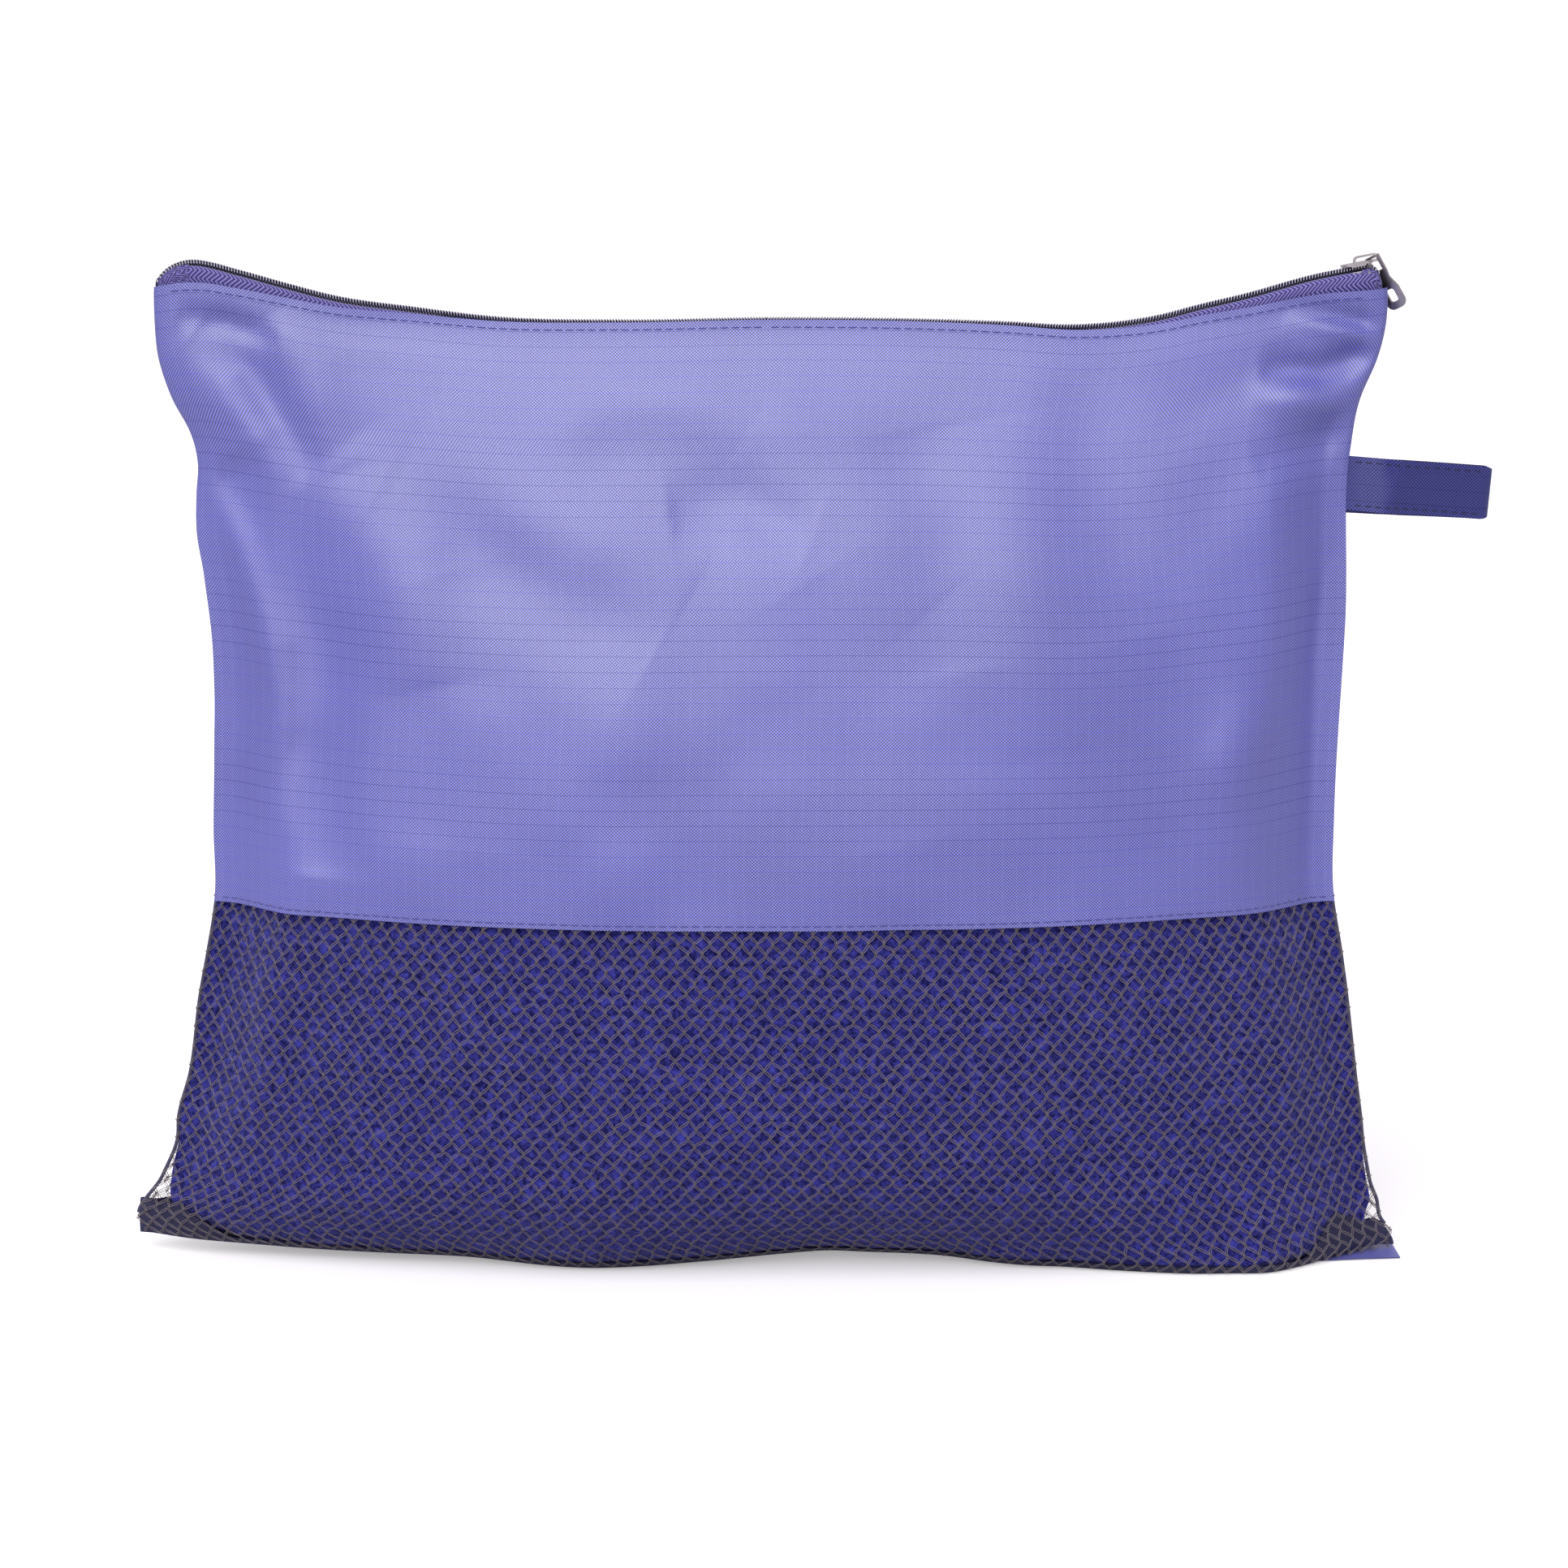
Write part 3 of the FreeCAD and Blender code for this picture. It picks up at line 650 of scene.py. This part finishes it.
def tape_material(name, pale, deep, dark, pitch):
    """Herringbone weave along the weave coordinates, with painted shade beside and under the coil."""
    m = new_material(name)
    weave = m.place("weave")
    u, v, _ = m.split(weave)
    ribs = m.wave(m.plus(u, m.math("PINGPONG", v, 2.5 * MM)), pitch)
    fine = m.speckle(weave, 1400.0)
    colour = m.mix(m.scaled(ribs, 0.7, 0.5), deep, pale)
    colour = m.mix(m.times(fine, 0.35), colour, deep)
    # Painted shade: the tape darkens beside and under the coil.
    shade_by_coil = m.ramp(v, 2.2 * MM, 3.0 * MM, 1.0, 0.0)
    colour = m.mix(m.times(shade_by_coil, 0.85), colour, dark)
    m.bump(m.plus(ribs, m.times(fine, 0.4)), 0.12 * MM, 0.6)
    m.set(Base_Color=colour, Roughness=0.6, Specular_IOR_Level=0.3, Sheen_Weight=0.3)
    return m.owner


def coil_material():
    m = new_material("coil_nylon")
    slow = m.speckle(m.place(), 700.0)
    m.set(Base_Color=m.mix(slow, srgb(24, 24, 48), srgb(52, 52, 92)), Roughness=0.28,
          Specular_IOR_Level=0.6, Coat_Weight=0.2)
    return m.owner


def metal_material():
    m = new_material("tumbled_nickel")
    where = m.place()
    slow = m.speckle(where, 260.0, 4.0)
    fine = m.speckle(where, 2600.0)
    colour = m.mix(slow, srgb(170, 163, 168), srgb(222, 214, 218))
    m.bump(m.plus(slow, m.times(fine, 0.3)), 0.03 * MM, 0.5)
    m.set(Base_Color=colour, Metallic=1.0, Roughness=m.scaled(slow, 0.2, 0.25))
    return m.owner


def seam_material(name):
    """Ripstop colour above the hem and the net's colour below it."""
    m = new_material(f"{name}_seam_cloth")
    where = m.place()
    above = m.ramp(m.split(where)[2], HEM - 1 * MM, HEM + 1 * MM)
    fine = m.speckle(where, 1300.0)
    colour = m.mix(above, srgb(66, 62, 86), srgb(122, 118, 196))
    colour = m.mix(m.times(fine, 0.3), colour, srgb(60, 58, 120))
    m.bump(fine, 0.1 * MM, 0.6)
    m.set(Base_Color=colour, Roughness=0.6, Sheen_Weight=0.3)
    return m.owner


# The pale colour of each of these weaves is partly a painted highlight on its threads.
RIPSTOP = ripstop("ripstop_periwinkle", srgb(136, 136, 242), srgb(2, 3, 78), srgb(14, 28, 176),
                  srgb(146, 148, 242), 0.85)
PALE_THREAD = thread_material("coil_thread", srgb(222, 216, 232), srgb(170, 162, 190))
# The bottom band's cloth is the ripstop darkened: painted shade under the pouch.
SHADED_BAND_CLOTH = ripstop("ripstop_band_shaded", srgb(50, 48, 92), srgb(18, 18, 48), srgb(24, 24, 62),
                     srgb(54, 54, 98), 0.3)
THREAD = thread_material("sewing_thread", srgb(88, 88, 176), srgb(52, 50, 134))
DARK_THREAD = thread_material("seam_thread", srgb(84, 80, 120), srgb(48, 46, 84))
LOOP_THREAD = thread_material("loop_thread", srgb(34, 34, 88), srgb(12, 12, 44))
NET = net_material()
FLEECE = fleece_material()
# The third tape colour is painted shade beside the coil.
TAPE = tape_material("herringbone_tape", srgb(146, 135, 216), srgb(42, 36, 98), srgb(24, 22, 64),
                     1.4 * MM)
WEBBING = ripstop("loop_ripstop", srgb(74, 76, 160), srgb(8, 10, 78), srgb(18, 22, 90),
                  srgb(60, 62, 146), 0.3)
COIL = coil_material()
METAL = metal_material()


# Pieces

PANEL_COLUMNS, PANEL_ROWS = ((264, 132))
FLAT_WIDTH = 400 * MM
FLAT_HEIGHT = 206 * MM
LAP = 4.5 * MM                                # how far a left half runs on under the right one
LAP_DEPTH = 0.75 * MM


def weave_of(columns, rows, width, height):
    """Weave coordinates, in metres, of a grid that is width x height when laid flat."""
    u = (np.linspace(-0.5, 0.5, columns + 1) * width)[:, None]
    v = (np.linspace(0, 1, rows + 1) * height)[None, :]
    return xyz(u, v, 0)


def ripstop_panels():
    """Upper panels in two halves; the left runs on under the right, so the open mouth shows no slit."""
    pitch = FLAT_WIDTH / PANEL_COLUMNS
    middle, lap = PANEL_COLUMNS // 2, round(LAP / pitch)
    for side, face in FACES.items():
        grid = patch(side, HEM, panel_top, PANEL_COLUMNS, PANEL_ROWS, ON_CLOTH)
        normal = normals_of(grid, side)
        weave = weave_of(PANEL_COLUMNS, PANEL_ROWS, FLAT_WIDTH, FLAT_HEIGHT)
        for hand, span in ((LEFT, slice(0, middle + 1 + lap)), (RIGHT, slice(middle, None))):
            half = grid[span].copy()
            if hand == LEFT:
                half[middle + 1:] -= normal[middle + 1:middle + 1 + lap] * LAP_DEPTH
            part = f"{face}_{HANDS[hand]}"
            piece = shell(f"{part}_ripstop", half, normal[span], CLOTH, RIPSTOP, weave[span])
            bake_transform(piece)
            nodes = [f"{part}_panel_edge"] + [f"{face}_panel"] * (hand == RIGHT)
            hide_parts(*nodes)


def net_nodes(columns, rows):
    """Start and end of every strand as fractions across and up the face."""
    starts, ends = [], []
    for j in range(rows):
        shift = 0.5 * (j % 2)
        for i in range(columns + 1):
            for lean in (-0.5, 0.5):
                a, b = (i + shift) / columns, (i + shift + lean) / columns
                if 0 <= a <= 1 and 0 <= b <= 1:
                    starts.append((a, j / rows))
                    ends.append((b, (j + 1) / rows))
    return np.array(starts), np.array(ends)


def unevenly(flat):
    """Shifts fractions of the face slightly, as a net's cells are never all alike."""
    place = np.concatenate([flat, np.zeros_like(flat[..., :1])], axis=-1)
    shift = np.stack([noise(place, 0.013, 15), noise(place, 0.017, 16)], axis=-1)
    return flat + shift * (0.0011, 0.0026)


def on_face(fine, normal, flat):
    """Points and outward directions of the face at the given fractions."""
    place = flat[..., 0], flat[..., 1]
    return bilinear(fine, *place), unit(bilinear(normal, *place))


def net(side):
    """Knotless net of doubled threads over the lower part of one face."""
    face = FACES[side]
    fine = patch(side, 1 * MM, lambda x: HEM + 5 * MM, 234, 120)
    normal = normals_of(fine, side)
    starts, ends = net_nodes(NET_COLUMNS, NET_ROWS)
    t = np.linspace(0, 1, 7)[None, :, None]
    sway = t - 0.075 * np.sin(2 * math.pi * t)
    flat = np.concatenate([starts[:, None, :1] * (1 - sway) + ends[:, None, :1] * sway,
                           starts[:, None, 1:] * (1 - t) + ends[:, None, 1:] * t], axis=-1)
    centre, up = on_face(fine, normal, unevenly(flat))
    sideways = np.cross(unit(np.gradient(centre, axis=1)), up)
    over = np.where(ends[:, 0] > starts[:, 0], 1, -1)[:, None, None]
    paths = []
    for lane in (-1, 1):
        spread = 0.25 * MM * (1 - 0.35 * np.cos(2 * np.pi * t))
        twist = 0.10 * MM * lane * np.cos(math.pi * t)
        paths.append(centre + sideways * lane * spread + up * (over * 0.10 * MM + twist))
    paths = np.concatenate(paths)
    across = np.concatenate([up, up])
    quarter = np.clip(((paths[:, 3, 0] / (200 * MM) + 1) * 2).astype(int), 0, 3)
    for k in range(4):
        chosen = quarter == k
        piece = tubes(f"{face}_net_{k + 1}", paths[chosen], across[chosen], 0.12 * MM, 4, NET, caps=False)
        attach(piece, "root")
        if k == 0:
            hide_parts(f"{face}_mesh")
    net_loops(side, fine, normal, starts[starts[:, 1] > 0.5 / NET_ROWS])


def net_loops(side, fine, normal, nodes):
    """Small loop of thread that ties the strands at each crossing."""
    centre, up = on_face(fine, normal, unevenly(nodes[:, None, :] + np.zeros((1, 5, 1))))
    level = unit(np.cross(up, np.array([0, 0, 1.0])))
    rise = np.cross(level, up)
    t = np.linspace(-1, 1, 5)[None, :, None]
    lean = np.where(nodes[:, 1] * NET_ROWS % 2 < 1, 1, -1)[:, None, None]
    path = centre + level * t * 0.42 * MM * lean + rise * (0.55 * t * t - 0.3) * MM
    path = path + up * (0.42 - 0.22 * t * t) * MM
    piece = tubes(f"{FACES[side]}_net_loops", path, up, 0.15 * MM, 4, NET, caps=False)
    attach(piece, "root")


def fleece():
    """The folded throw: a soft pillow with slow folds and a lumpy nap."""
    columns, rows = ((300, 200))
    sheets = []
    low, high = 0.9 * MM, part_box("fleece_throw")[1][2]
    skin_gap, panel_gap = 1.1 * MM, 1.2 * MM
    for side in (FRONT, BACK):
        u = np.sin(np.linspace(-1, 1, columns + 1) * math.pi / 2)[:, None]
        v = (0.5 - 0.5 * np.cos(np.linspace(0, 1, rows + 1) * math.pi))[None, :]
        z = low + (high - low) * v
        x = u * (edge(u, z) - np.where(u < 0, left_gap(z), right_gap(z)))
        depth = skin_depth(side, x, z) - skin_gap - panel_gap * ramped(z, HEM, 4 * MM)
        ends = np.sqrt(np.clip(1 - np.abs(u) ** 14, 0, 1)) * np.sqrt(np.clip(1 - v ** 10, 0, 1))
        ends = ends * np.clip(v * 400, 0, 1)
        place = xyz(x, side * 0.1, z)
        lumps = (noise(place * (1, 1, 0.45), 0.035, 21) * 1.2 + noise(place, 0.012, 22)
                 + noise(place, 0.0045, 23) * 0.8 + noise(place, 0.002, 24) * 0.4) * MM
        y = np.maximum(depth - np.abs(lumps), 0.3 * MM) * ends
        sheets.append(xyz(x, side * y, z + bottom_lift(x) * near_floor(z)).reshape(-1, 3))
    n, m = columns + 1, rows + 1
    quads = np.concatenate([grid_quads(n, m, 0, True), grid_quads(n, m, n * m)])
    piece = make_mesh("fleece", np.concatenate(sheets), FLEECE, quads)
    weld = piece.modifiers.new("weld", "WELD")
    weld.merge_threshold = 0.02 * MM
    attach(piece, "root")
    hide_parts("fleece_throw")


def bottom_band():
    """Strip of ripstop under the fleece, flat and higher at the two lower corners; its cloth is a darker
    copy of the ripstop, painted shade.
    """
    columns, rows = 200, 24
    strip_half, floor_wall = 205.5 * MM, 2.4
    left_ear, right_ear, right_tip = 11.5, 12.5, 8
    x = np.linspace(-1, 1, columns + 1)[:, None] * strip_half
    t = np.linspace(-1, 1, rows + 1)[None, :]
    out = eased(np.abs(x), 172 * MM, 20 * MM)
    tip = ramped(x, 190 * MM, 15 * MM)
    ear = np.where(x < 0, left_ear, right_ear - right_tip * tip)
    wall_height = (floor_wall + ear * out) * MM
    inset = (1.5 - 0.6 * out) * MM
    base = np.maximum(half_depth(x, 1 * MM) - inset, 0.7 * MM)
    wall = np.maximum(half_depth(x, wall_height + 1 * MM) - inset, 0.7 * MM)
    height = ramped(np.abs(t), 0.5, 0.5)
    y = np.sign(t) * np.where(np.abs(t) < 0.5, np.abs(t) / 0.5 * base, base + (wall - base) * height)
    z = 0.5 * MM + wall_height * height ** 1.2
    z = z + (bottom_lift(x) + np.where(x > 0, 1.6 * MM * out, 0)) * near_floor(z)
    crumple = noise(xyz(x, y, z), 0.006, 31) * height * out
    y = y + 1.1 * MM * crumple
    z = z + np.where(x > 0, 1.9, 0.8) * MM * crumple
    x = x - np.sign(x) * 4 * MM * height ** 2 * out * (x > 0) + 0.4 * MM * crumple
    grid = xyz(x, y, z)
    weave = weave_of(columns, rows, 412 * MM, 52 * MM)
    piece = shell("bottom_band_cloth", grid, -grid_normals(grid), THIN_CLOTH, SHADED_BAND_CLOTH, weave)
    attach(piece, "root")
    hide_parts("bottom_band")
    ear_flap()


def ear_flap():
    """Edge of the bottom cloth that lies on the table under the right ear."""
    u = np.linspace(0, 1, 40)[:, None]
    v = np.linspace(-1, 1, 9)[None, :]
    x = (158 + 48 * u) * MM
    y = (10 + 6 * (1 - u)) * v * MM
    z = (0.7 + 0.5 * noise(xyz(x, y, 0), 0.012, 32) * u) * MM
    upward = xyz(0 * y, 0, 1)
    weave = weave_of(39, 8, 48 * MM, 24 * MM)
    flap = shell("right_ear_flap", xyz(x, y, z), upward, THIN_CLOTH, RIPSTOP, weave)
    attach(flap, "root")


def stitch_row(name, path, up, material, length=2.9 * MM, gap=0.5 * MM, radius=0.17 * MM):
    """Separate stitches along a path, each sunk at both ends."""
    run = run_along(path)
    count = int(run[-1] / (length + gap))
    starts = (np.arange(count) + 0.5) * run[-1] / count - length / 2
    t = np.linspace(0, 1, 7)
    at = starts[:, None] + t * length
    points = np.stack([np.interp(at, run, path[:, k]) for k in range(3)], axis=-1)
    raised = np.stack([np.interp(at, run, up[:, k]) for k in range(3)], axis=-1)
    points = points + raised * ((np.sin(math.pi * t) ** 0.5 * 0.22 - 0.08) * MM)[None, :, None]
    thick = radius * (0.55 + 0.45 * np.sin(math.pi * t) ** 0.5)
    return tubes(name, points, raised, thick[None, :], 6, material)


def stitches_on(side, name, x, z, body, node):
    """A row of stitches over the cloth of one face, along a line of x and z."""
    strip = surface(side, np.stack([x, x], 1), np.stack([z, z + 1 * MM], 1))
    up = normals_of(strip, side)[:, 0]
    piece = stitch_row(name, surface(side, x, z, ON_CLOTH), up, THREAD)
    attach(piece, body)
    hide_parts(node)


def hem_stitching():
    for side, face in FACES.items():
        u = np.linspace(-1, 1, 500)
        z = np.full_like(u, HEM + 1.5 * MM)
        x = u * (edge(u, z) - 2 * MM)
        stitches_on(side, f"{face}_hem_stitches", x, z, "root", f"{face}_hem_stitching")


def plan_taper(hand, distance):
    """How far the two tapes close towards each other at a corner, from 1 to 0."""
    return np.sqrt(1 - ramped(distance, *PLAN[hand]) ** 2)


def chain_line(hand, distance):
    """Height of the chain with its curl down into the corner."""
    start, reach, drop = CURL[hand]
    t = ramped(distance, start, reach)
    return chain_height(hand * distance) - drop * (1 - np.sqrt(1 - t * t))


def top_stitching():
    for side, face in FACES.items():
        for hand, name in HANDS.items():
            part = f"{face}_{name}"
            x = hand * np.linspace(1 * MM, 186 * MM, 300)
            z = panel_top(x) - 2.3 * MM
            stitches_on(side, f"{part}_top_stitches", x, z, f"{part}_lip", f"{part}_topstitching")


def under_panel(x, y, z, inside):
    """Keeps y within inside wherever the tape is covered by a panel."""
    return np.where(z < panel_top(x) + 1.5 * MM, np.clip(y, *inside), y)


def zip_sides():
    """Each quarter of the zip: tape folded down inside the panel, and half of the coil."""
    profile = np.array([(0.3, -0.8), (1.8, -0.8), (3.2, -0.75), (4.2, -1.1), (4.8, -2.2), (4.95, -4.5),
                        (5.0, -7), (5.1, -10), (5.2, -14)]) * MM
    fold = run_along(profile)[None, :]
    tape_gap = 0.3 * MM
    corner_start, corner_spread = 184 * MM, 0.18
    for side, face in FACES.items():
        for hand, name in HANDS.items():
            body = f"{face}_{name}_lip"
            end = PLAN[hand][0] + PLAN[hand][1] - 0.4 * MM
            straight, curled = np.linspace(0, 170, 120) * MM, np.linspace(170.5 * MM, end, 90)
            distance = np.concatenate([straight, curled])[:, None]
            x = hand * distance
            z = chain_line(hand, distance) + profile[None, :, 1]
            y = tape_gap + (profile[None, :, 0] - tape_gap) * plan_taper(hand, distance)
            y = under_panel(x, y, z, (0, skin_depth(side, x, z) - 1.1 * MM))
            apart = 0.25 * MM + corner_spread * np.maximum(distance - corner_start, 0)
            grid = xyz(x, side * np.maximum(y, apart), z)
            normal = grid_normals(grid)
            if normal[100, 2, 2] < 0:
                normal = -normal
            tape = shell(f"{body}_tape", grid, normal, CLOTH, TAPE, xyz(x, fold, 0))
            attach(tape, body)
            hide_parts(f"{face}_{name}_tape")
            coil_half(side, hand, min(end, CURL[hand][0] + CURL[hand][1] * 0.97))


def coil_half(side, hand, end):
    """Nylon coil along one quarter, with the thread that sews it to its tape."""
    part = f"{FACES[side]}_{HANDS[hand]}"
    body = f"{part}_lip"
    turns = int((end - 0.2 * MM) / COIL_PITCH)
    centre_y, centre_z = 1.0 * MM, 0.1 * MM
    coil_across, coil_up, thread_reach = 0.82 * MM, 0.72 * MM, 0.92 * MM
    angle = np.linspace(0, turns * 2 * math.pi, turns * 10 + 1)
    run = 0.15 * MM + angle / (2 * math.pi) * COIL_PITCH
    y = side * (centre_y - coil_across * np.cos(angle))
    z = chain_line(hand, run) + coil_up * np.sin(angle) + centre_z
    along = np.array([1.0, 0, 0])
    coil = tubes(f"{body}_coil", xyz(hand * run, y, z)[None], along, 0.25 * MM, 6, COIL)
    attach(coil, body)
    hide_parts(f"{part}_coil")
    over = np.linspace(-0.1, 0.6, 5)[None, :] * math.pi
    run = (np.arange(turns)[:, None] + 0.5) * COIL_PITCH
    y = side * (centre_y + thread_reach * np.cos(over))
    z = chain_line(hand, run) + centre_z + thread_reach * np.sin(over)
    thread = tubes(f"{body}_coil_thread", xyz(hand * run, y, z), along, 0.17 * MM, 4, PALE_THREAD)
    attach(thread, body)


def tape_ends():
    """Folded tape that closes each top corner."""
    for hand, name in HANDS.items():
        start, reach = PLAN[hand]
        turn = np.linspace(-1, 1, 33)[:, None] * 0.42 * math.pi
        level = np.linspace(0, 1, 14)[None, :]
        distance = start + (reach - 0.1 * MM) * np.cos(turn)
        top = chain_line(hand, np.minimum(distance, start + reach)) - 0.4 * MM
        low = panel_top(hand * CHAIN_END) - 5 * MM
        z = low + (top - low) * level
        x = hand * distance
        y = 4.7 * MM * np.sin(turn)
        inside = np.maximum(np.minimum(skin_depth(FRONT, x, z), skin_depth(BACK, x, z)) - 1.0 * MM, 0.2 * MM)
        grid = xyz(x, under_panel(x, y, z, (-inside, inside)), z)
        normal = grid_normals(grid)
        if normal[16, 6, 0] * hand < 0:
            normal = -normal
        weave = weave_of(32, 13, 20 * MM, 26 * MM)
        piece = shell(f"{name}_corner_tape", grid, normal, THIN_CLOTH, TAPE, weave)
        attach(piece, "root")
        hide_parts(f"{name}_tape_end")


def side_seams():
    """Rounded ridge where the panels meet at each side, with its stitches."""
    for hand, name in HANDS.items():
        z = np.linspace(9 * MM, 311 * MM, 420)
        x = hand * (edge(hand, z) - 0.25 * MM)
        height = z + bottom_lift(x) * near_floor(z)
        path = xyz(x, 0, height)
        outward = xyz(hand, 0 * z, 0)
        ridge = tubes(f"{name}_seam_ridge", path[None], outward[None], 0.6 * MM, 10, seam_material(name))
        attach(ridge, "root")
        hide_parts(f"{name}_seam_binding")
        inner_seam_tape(hand, name, ridge.data.materials[0])
        rear = xyz(0.34 * hand, 0.94, 0 * z)
        line = path + rear * 0.55 * MM
        row = stitch_row(f"{name}_seam_stitches", line, rear, DARK_THREAD, 2.2 * MM, 0.6 * MM)
        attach(row, "root")
        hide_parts(f"{name}_seam_stitching")


def inner_seam_tape(hand, name, material):
    """Upper end of the seam's tape, inside the pouch, which shows when the mouth is open."""
    z = np.linspace(238 * MM, panel_top(hand * CHAIN_END) - 3 * MM, 40)[:, None]
    inward = np.linspace(0.2, 5.5, 7)[None, :] * MM
    x = hand * (edge(hand * CHAIN_END, z) - inward)
    tape = shell(f"{name}_inner_seam_tape", xyz(x, 0, z), xyz(0 * x, 1, 0), 0.7 * MM, material)
    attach(tape, "root")


LOOP_Z = 250 * MM
LOOP_WIDTH = 17 * MM


def side_loop():
    """Folded strip: two legs sewn into the right seam and a round end."""
    low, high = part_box("side_loop")
    start, tip = low[0] - 1.4 * MM, high[0]
    bend, pinched = 3.3 * MM, 1.1 * MM     # half gap between the legs, at the round end and at the seam
    kink_at, kink_depth = 0.36, 2.6 * MM
    rise, droop = 1.7 * MM, 0.072          # of the strip's middle, at the seam and along its length
    legs = np.linspace(0, 1, 40)
    leg_x = start + (tip - bend - start) * legs
    spread = pinched + (bend - pinched) * np.clip(legs * 1.25, 0, 1) ** 0.8
    kink = kink_depth * np.clip(1 - np.abs(legs - kink_at) / kink_at, 0, 1) ** 1.3
    turn = np.linspace(-math.pi / 2, math.pi / 2, 17)[1:-1]
    front = np.stack([leg_x, -spread - kink], axis=1)
    end = np.stack([tip - bend + bend * np.cos(turn), bend * np.sin(turn)], axis=1)
    back = np.stack([leg_x, spread - 0.6 * kink], axis=1)[::-1]
    path = np.concatenate([front, end, back])
    tangent = unit(np.gradient(path, axis=0))
    outward = xyz(tangent[:, 1], -tangent[:, 0], 0)
    run = run_along(path)[:, None]
    h = np.linspace(-0.5, 0.5, 15)[None, :]
    along = (path[:, 0] - start) / (tip - start)
    sag = np.where(path[:, 1] > 0, -1.1 * MM, 0.0) * np.clip(1 - along, 0, 1)
    middle = LOOP_Z + rise - droop * (path[:, 0] - start) + sag
    tilt = (-0.12 + 0.42 * eased(along, 0.24, 0.16)) * ramped(along, 0, 0.12)
    rounded = 1 - 0.10 * ramped(along, 0.93, 0.07) ** 2
    y = path[:, 1, None] - (tilt * LOOP_WIDTH)[:, None] * h
    grid = xyz(path[:, :1], y, middle[:, None] + h * LOOP_WIDTH * rounded[:, None])
    normal = grid_normals(grid)
    facing = np.einsum("ij,ikj->ik", outward, normal)
    normal = np.where(facing[..., None] < 0, -normal, normal)
    piece = shell("loop_strip", grid, normal, 0.9 * MM, WEBBING, xyz(run, h * LOOP_WIDTH, 0))
    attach(piece, "side_loop")
    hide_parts("side_loop")
    stitches, from_edge = [], LOOP_WIDTH / 2 - 1.7 * MM
    for k, h_at in enumerate((-from_edge, from_edge)):
        for name, span in (("front", slice(3, 40)), ("back", slice(-40, -3))):
            line = xyz(path[span, 0], path[span, 1] - tilt[span] * h_at, middle[span] + h_at)
            row_name = f"loop_{name}_stitches_{k + 1}"
            row = stitch_row(row_name, line, outward[span], LOOP_THREAD, 2.2 * MM, 0.8 * MM)
            stitches.append(row)
    for row in stitches:
        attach(row, "side_loop")
    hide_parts("loop_stitching")


def metal_parts():
    """Slider and bail keep their CAD shapes; the loose pull is turned about its own length."""
    for name in ("slider_body", "slider_bail"):
        polish(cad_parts[name])
    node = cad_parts["pull_tab"]
    mesh = node.data.copy()
    mesh.transform(node.matrix_world)
    length = Vector((math.sin(TAB_LEAN), 0, -math.cos(TAB_LEAN)))
    pivot = Vector(TAB_PIVOT)
    turn = Matrix.Translation(pivot) @ Matrix.Rotation(TAB_TWIST, 4, length) @ Matrix.Translation(-pivot)
    mesh.transform(turn)
    tab = add_object("pull_tab_metal", mesh, METAL)
    polish(tab)
    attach(tab, "pull_tab")
    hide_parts("pull_tab")


def polish(piece):
    """Bare metal with softened edges."""
    piece.data.materials.clear()
    piece.data.materials.append(METAL)
    bevel = piece.modifiers.new("soft_edges", "BEVEL")
    bevel.width = 0.18 * MM
    bevel.segments = 3
    bevel.limit_method = "ANGLE"


# Stage

def stage():
    """A wide white floor that throws less light back than the camera sees."""
    m = new_material("floor_white")
    seen = m.add("ShaderNodeLightPath").outputs["Is Camera Ray"]
    paper = m.mix(m.speckle(m.place(), 3.0, 3.0), (0.93, 0.90, 0.93, 1), (0.95, 0.92, 0.95, 1))
    m.set(Base_Color=m.mix(seen, (0.6, 0.59, 0.62, 1), paper), Roughness=0.9, Specular_IOR_Level=0.2,
          Emission_Color=(1, 0.985, 1, 1), Emission_Strength=m.times(seen, 0.34))
    reach = 30.0
    points = [(-reach, -reach, 0), (reach, -reach, 0), (reach, reach, 0), (-reach, reach, 0)]
    make_mesh("floor", points, m.owner, [(0, 1, 2, 3)])


def studio():
    """A wide soft key light and white surroundings that give less light from the sides."""
    m = Nodes(bpy.data.worlds.new("studio"), "Background")
    way = m.split(m.add("ShaderNodeTexCoord").outputs["Generated"])
    around = m.ramp(m.math("ABSOLUTE", way[1]), 0.0, 1.0, 0.38, 0.68)
    seen = m.add("ShaderNodeLightPath").outputs["Is Camera Ray"]
    m.set(Color=(1.0, 0.985, 1.0, 1), Strength=m.ramp(seen, 0.0, 1.0, around, 1.05))
    scene = bpy.context.scene
    scene.world = m.owner
    data = bpy.data.lights.new("key", "SUN")
    data.energy = 2.1
    data.angle = math.radians(62)
    lamp = bpy.data.objects.new("key", data)
    lamp.rotation_euler = Vector((0.22, 0.64, -0.64)).to_track_quat("-Z", "Y").to_euler()
    scene.collection.objects.link(lamp)
    scene.view_settings.view_transform = "Standard"


def camera():
    data = bpy.data.cameras.new("camera")
    data.sensor_width = 36
    data.lens = 76.2
    eye = bpy.data.objects.new("camera", data)
    eye.location = (0.0055, -1.05, 0.33)
    aim = Vector((0.0055, 0, 0.155))
    eye.rotation_euler = (aim - eye.location).to_track_quat("-Z", "Y").to_euler()
    bpy.context.scene.collection.objects.link(eye)
    bpy.context.scene.camera = eye


fleece()
ripstop_panels()
net(FRONT)
net(BACK)
bottom_band()
hem_stitching()
top_stitching()
zip_sides()
tape_ends()
side_seams()
side_loop()
metal_parts()
stage()
studio()
camera()
